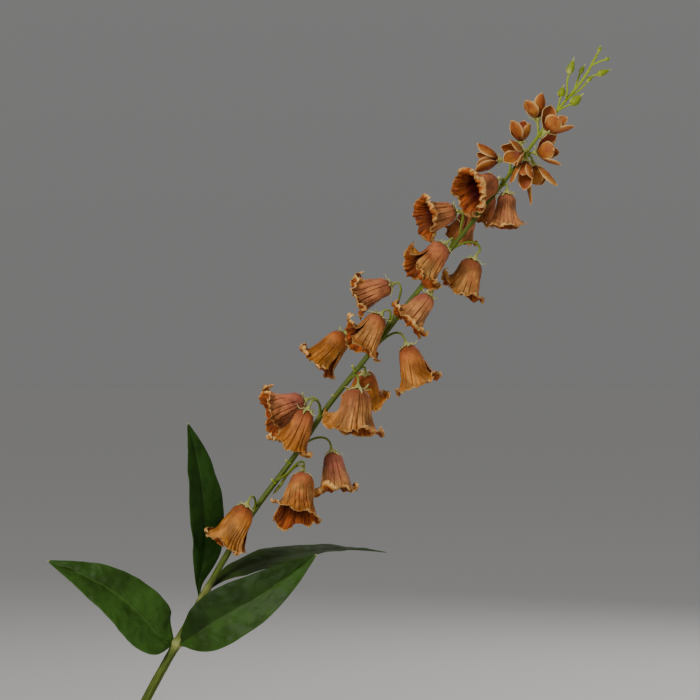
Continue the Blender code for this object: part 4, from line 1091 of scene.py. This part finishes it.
def bell_petal_material():
    """Wilted petal: rust to tan, pink at the crown, painted shade in the folds, painted light and shade on its bulges
    and dents, and maroon in the throat, darkened further by painted shade.
    """
    made = Shader("bell_petal", 0.6, Specular_IOR_Level=0.14)
    _, _, along, spot = made.attribute("spot")
    crease_shade, edge, inside, _ = made.attribute("form")
    blush, pale, relief_light_and_shade, _ = made.attribute("tone")
    streak = made.noise(made.stretched(spot, (5, 5, 1.2)), 2.2, 5.0, 0.6)
    fine = made.noise(made.stretched(spot, (22, 22, 5)), 2.0, 4.0, 0.6)
    mottle = made.noise(made.position(), 120.0, 5.0, 0.6)
    blotch = made.noise(made.position(), 48.0, 3.0, 0.5)
    body = made.mix(made.spread(along, 0.06, 0.5), PETAL_CROWN, PETAL_BODY)
    tan_share = made.maths("MULTIPLY", made.spread(blush, 0.3, 0.9), made.spread(streak, 0.3, 0.6, 0.35, 0.85))
    body = made.mix(tan_share, body, PETAL_TAN)
    pink_share = made.maths("MULTIPLY", blush, made.spread(along, 0.3, 0.95, 1.0, 0.15))
    pink_share = made.maths("MULTIPLY", pink_share, made.spread(blotch, 0.34, 0.6, 0.35, 1.0))
    body = made.mix(pink_share, body, PETAL_PINK)
    pale_share = made.maths("MULTIPLY", made.spread(blotch, 0.56, 0.4), made.spread(streak, 0.36, 0.62))
    pale_share = made.maths("MULTIPLY", pale_share, made.maths("ADD", 0.25, pale))
    body = made.mix(made.maths("MULTIPLY", pale_share, made.spread(along, 0.2, 0.6)), body, PETAL_PALE)
    lip_share = made.maths("MULTIPLY", made.spread(along, 0.84, 1.0), made.spread(mottle, 0.36, 0.58, 0.2, 0.9))
    body = made.mix(lip_share, body, PETAL_LIP)
    # The inside is maroon and gets darker deep in the throat with painted shade, plus streaks of painted shade like
    # the creases of the pleats.
    inner = made.mix(made.spread(along, 0.55, 0.90), PETAL_THROAT_AND_SHADE, PETAL_INSIDE)
    inner = made.mix(made.maths("MULTIPLY", made.spread(streak, 0.44, 0.62), 0.75), inner, PETAL_THROAT_AND_SHADE)
    band = made.maths("MULTIPLY", made.spread(along, 0.95, 1.0), made.spread(mottle, 0.34, 0.56, 0.45, 1.0))
    inner = made.mix(band, inner, PETAL_LIP)
    colour = made.mix(inside, body, inner)
    rim = made.maths("MULTIPLY", made.spread(edge, 0.45, 0.95), made.spread(mottle, 0.38, 0.56, 0.25, 0.9))
    colour = made.mix(rim, colour, PETAL_RIM)
    shade = made.spread(fine, 0.3, 0.7, 0.80, 1.14)
    shade = made.maths("MULTIPLY", shade, made.spread(mottle, 0.3, 0.7, 0.84, 1.12))
    # Painted light on the bulges and painted shade in the dents of the wall.
    shade = made.maths("MULTIPLY", shade, made.spread(relief_light_and_shade, 0.15, 0.85, 0.62, 1.14))
    colour = made.shaded(colour, shade)
    # Painted shade in the folds and wrinkles.
    colour = made.mix(made.maths("MULTIPLY", made.spread(crease_shade, 0.2, 0.9), 0.9), colour, PETAL_CREASE_SHADE)
    height = made.maths("ADD", made.maths("MULTIPLY", fine, 0.6), made.maths("MULTIPLY", mottle, 0.6))
    return made.finish(colour, made.spread(mottle, 0.3, 0.7, 0.50, 0.64), height, 0.7, 0.0006)


FLORET_BODY = (0.390, 0.098, 0.015)
FLORET_OCHRE = (0.540, 0.235, 0.040)
# Deep red of the petal bases, also used as painted shade in the grooves.
FLORET_BASE_AND_CREASE_SHADE = (0.170, 0.014, 0.004)
FLORET_RIM = (0.860, 0.560, 0.230)
FLORET_INSIDE = (0.260, 0.032, 0.007)


def floret_petal_material():
    """Young petal: orange-brown with fine veins, a deep red base, painted shade in its grooves and a pale tan rim."""
    made = Shader("floret_petal", 0.55, Specular_IOR_Level=0.25)
    across, _, along, spot = made.attribute("spot")
    crease_shade, edge, inside, _ = made.attribute("form")
    blush, pale, own, _ = made.attribute("tone")
    veins = made.noise(made.stretched(spot, (9, 3, 1.5)), 2.5, 4.0, 0.6)
    mottle = made.noise(made.position(), 170.0, 5.0, 0.6)
    side = made.spread(made.maths("ABSOLUTE", across), 0.15, 0.95, 0.0, 0.5)
    outer = made.mix(made.maths("MULTIPLY", side, made.spread(along, 0.2, 0.6)), FLORET_BODY, FLORET_OCHRE)
    outer = made.mix(made.spread(along, 0.05, 0.5), FLORET_BASE_AND_CREASE_SHADE, outer)
    outer = made.mix(made.maths("MULTIPLY", pale, made.spread(mottle, 0.38, 0.6)), outer, FLORET_OCHRE)
    inner = made.mix(side, FLORET_INSIDE, FLORET_BODY)
    inner = made.mix(made.maths("MULTIPLY", pale, 0.6), inner, FLORET_OCHRE)
    inner = made.mix(made.maths("MULTIPLY", blush, 0.5), inner, FLORET_INSIDE)
    inner = made.mix(made.spread(along, 0.1, 0.6, 0.85, 0.0), inner, FLORET_BASE_AND_CREASE_SHADE)
    colour = made.mix(inside, outer, inner)
    colour = made.mix(made.maths("MULTIPLY", edge, 0.85), colour, FLORET_RIM)
    shade = made.maths("MULTIPLY", made.spread(veins, 0.3, 0.7, 0.82, 1.1), made.spread(mottle, 0.3, 0.7, 0.88, 1.1))
    colour = made.shaded(colour, shade)
    # Painted shade in the grooves, in the deep red of the base.
    colour = made.mix(made.maths("MULTIPLY", crease_shade, 0.5), colour, FLORET_BASE_AND_CREASE_SHADE)
    height = made.maths("ADD", made.maths("MULTIPLY", veins, 0.7), made.maths("MULTIPLY", mottle, 0.4))
    return made.finish(colour, made.spread(own, 0, 1, 0.55, 0.66), height, 0.35, 0.0004)


STEM_GREEN = (0.140, 0.185, 0.020)
# Deep green of the darker fibres, also used as painted shade in the grooves.
STEM_DEEP_AND_GROOVE_SHADE = (0.045, 0.072, 0.008)
STEM_FRESH = (0.350, 0.450, 0.022)
STEM_CREAM = (0.620, 0.600, 0.220)


def stem_material():
    """Soft green stem with long fibres and painted shade in its grooves, brighter at the tip and pale at the calyxes.
    """
    made = Shader("stem_green", 0.5, Specular_IOR_Level=0.18)
    _, _, _, spot = made.attribute("spot")
    groove, edge, _, _ = made.attribute("form")
    pale, fresh, _, _ = made.attribute("tone")
    fibres = made.noise(made.stretched(spot, (4, 4, 0.06)), 2.6, 5.0, 0.6)
    mottle = made.noise(made.position(), 150.0, 5.0, 0.6)
    colour = made.mix(made.spread(fibres, 0.35, 0.65), STEM_DEEP_AND_GROOVE_SHADE, STEM_GREEN)
    colour = made.mix(fresh, colour, STEM_FRESH)
    # Painted shade in the grooves between the ribs.
    colour = made.mix(made.maths("MULTIPLY", groove, 0.7), colour, STEM_DEEP_AND_GROOVE_SHADE)
    colour = made.mix(made.maths("MULTIPLY", pale, made.spread(mottle, 0.3, 0.55, 0.6, 1.0)), colour, STEM_CREAM)
    colour = made.mix(made.maths("MULTIPLY", edge, 0.3), colour, STEM_CREAM)
    height = made.maths("ADD", fibres, made.maths("MULTIPLY", mottle, 0.4))
    return made.finish(colour, made.spread(mottle, 0.3, 0.7, 0.42, 0.56), height, 0.3, 0.0004)


LEAF_DEEP = (0.014, 0.046, 0.004)
LEAF_BRIGHT = (0.036, 0.105, 0.012)
LEAF_OLIVE_TONE = (0.042, 0.062, 0.008)
LEAF_VEIN = (0.080, 0.160, 0.030)
LEAF_BACK = (0.055, 0.110, 0.030)
LEAF_TIP = (0.520, 0.480, 0.250)


def leaf_material():
    """Deep green leaf with lighter veins and margin, glossier above than below, with painted shade over a whole leaf
    or one half of it.
    """
    made = Shader("leaf_green", 0.5, Specular_IOR_Level=0.12)
    over, along, _, spot = made.attribute("spot")
    vein, edge, inside, _ = made.attribute("form")
    tip, olive, light, _ = made.attribute("tone")
    cloud = made.noise(made.position(), 45.0, 5.0, 0.6)
    cells = made.noise(made.position(), 900.0, 3.0, 0.6)
    colour = made.mix(made.spread(cloud, 0.32, 0.66), LEAF_DEEP, LEAF_BRIGHT)
    colour = made.mix(made.maths("MULTIPLY", olive, 0.8), colour, LEAF_OLIVE_TONE)
    colour = made.mix(made.maths("MULTIPLY", inside, 0.7), colour, LEAF_BACK)
    colour = made.mix(made.maths("MULTIPLY", made.spread(vein, 0.3, 1.0), 0.45), colour, LEAF_VEIN)
    colour = made.mix(made.maths("MULTIPLY", edge, 0.45), colour, LEAF_VEIN)
    # Painted shade on the halves of the leaf.
    colour = made.shaded(colour, light)
    colour = made.mix(tip, colour, LEAF_TIP)
    shine = made.maths("ADD", made.spread(cloud, 0.3, 0.7, 0.43, 0.54), made.maths("MULTIPLY", inside, 0.12))
    height = made.maths("ADD", made.maths("MULTIPLY", cells, 0.5), cloud)
    return made.finish(colour, shine, height, 0.35, 0.0004)


CLAY = (0.420, 0.370, 0.300)
CLAY_DARK = (0.230, 0.170, 0.115)
CLAY_LIGHT = (0.560, 0.520, 0.450)


def stoneware_material():
    """Warm grey stoneware with a satin glaze, iron specks and a browner lip and foot."""
    made = Shader("stoneware", 0.5, Specular_IOR_Level=0.45)
    _, _, height_at, spot = made.attribute("spot")
    cloud = made.noise(made.position(), 28.0, 5.0, 0.6)
    grain = made.noise(made.position(), 900.0, 3.0, 0.6)
    specks = made.speckle(made.position(), 420.0)
    some = made.noise(made.position(), 170.0, 2.0, 0.5)
    colour = made.mix(made.spread(cloud, 0.2, 0.8), CLAY, CLAY_LIGHT)
    worn = made.maths("ADD", made.spread(height_at, 188.5, 191.6), made.spread(height_at, 9.0, 2.0))
    colour = made.mix(made.maths("MULTIPLY", worn, 0.7), colour, CLAY_DARK)
    dots = made.maths("MULTIPLY", made.spread(specks, 0.28, 0.14), made.spread(some, 0.46, 0.54))
    colour = made.mix(made.maths("MULTIPLY", dots, 0.8), colour, CLAY_DARK)
    height = made.maths("ADD", made.maths("MULTIPLY", cloud, 2.0), made.maths("MULTIPLY", grain, 0.3))
    return made.finish(colour, made.spread(cloud, 0.3, 0.7, 0.42, 0.56), height, 0.25, 0.0004)


def water_material():
    """Clear water."""
    made = Shader("water", 0.02, IOR=1.333, Transmission_Weight=1.0)
    return made.finish((0.86, 0.93, 0.90))


def plain_material(name, colour, roughness):
    made = Shader(name, roughness)
    return made.finish(colour)


def once(maker):
    """maker, with its first result kept and given each time."""
    kept = []

    def same():
        if not kept:
            kept.append(maker())
        return kept[0]

    return same


MATERIALS = {
    "bell_petal": once(bell_petal_material),
    "floret_petal": once(floret_petal_material),
    "stem": once(stem_material),
    "leaf": once(leaf_material),
    "stoneware": once(stoneware_material),
    "water": once(water_material),
}


def build_floor():
    """A wide pale floor."""
    mesh = bpy.data.meshes.new("floor")
    size = 30
    mesh.from_pydata([(-size, -size, 0), (size, -size, 0), (size, size, 0), (-size, size, 0)], [], [(0, 1, 2, 3)])
    made = bpy.data.objects.new("floor", mesh)
    mesh.materials.append(plain_material("pale_floor", (0.75, 0.745, 0.735), 0.9))
    bpy.context.scene.collection.objects.link(made)


def add_light(name, place, target, size, power, colour):
    """A soft square light that looks at target."""
    light = bpy.data.lights.new(name, "AREA")
    light.shape = "SQUARE"
    light.size = size
    light.energy = power
    light.color = colour
    made = bpy.data.objects.new(name, light)
    made.location = place
    made.rotation_euler = (Vector(place) - Vector(target)).to_track_quat("Z", "Y").to_euler()
    made.visible_camera = False
    bpy.context.scene.collection.objects.link(made)


def build_studio():
    """Soft light from the upper left in front, a weaker one from the right, and a pale world."""
    build_floor()
    middle = (0.17, 0, 0.42)
    add_light("key_light", (-1.0, -2.0, 1.6), middle, 0.8, 50, (1.0, 0.97, 0.93))
    add_light("fill_light", (1.9, -1.4, 0.9), middle, 1.6, 6, (0.97, 0.98, 1.0))
    add_light("back_light", (1.1, 1.9, 1.5), middle, 1.4, 16, (1.0, 0.98, 0.95))
    world = bpy.data.worlds.new("studio")
    world.use_nodes = True
    tree = world.node_tree
    coordinates = tree.nodes.new("ShaderNodeTexCoord")
    split = tree.nodes.new("ShaderNodeSeparateXYZ")
    climb = tree.nodes.new("ShaderNodeMapRange")
    tree.links.new(coordinates.outputs["Generated"], split.inputs[0])
    tree.links.new(split.outputs["Z"], climb.inputs["Value"])
    climb.inputs["To Min"].default_value = 0.18
    climb.inputs["To Max"].default_value = 0.27
    background = tree.nodes["Background"]
    background.inputs["Color"].default_value = (1, 0.995, 0.985, 1)
    tree.links.new(climb.outputs["Result"], background.inputs["Strength"])
    bpy.context.scene.world = world


def build_camera():
    """The photograph's view: level, straight on, from two metres off."""
    camera = bpy.data.cameras.new("camera")
    camera.lens = 135
    camera.sensor_width = 36
    made = bpy.data.objects.new("camera", camera)
    made.location = (0.1832, -1.969, 0.4675)
    made.rotation_euler = (math.pi / 2, 0, 0)
    bpy.context.scene.collection.objects.link(made)
    bpy.context.scene.camera = made


build_camera()
build_studio()
build_vase()
build_water()
build_stem()
for place, bell in enumerate(BELLS):
    build_bell(bell, place + 1)
for place, floret in enumerate(FLORETS):
    build_floret(floret, place + 1)
for place, leaf in enumerate(LEAVES):
    build_leaf(leaf, place + 1)

bpy.context.view_layer.update()
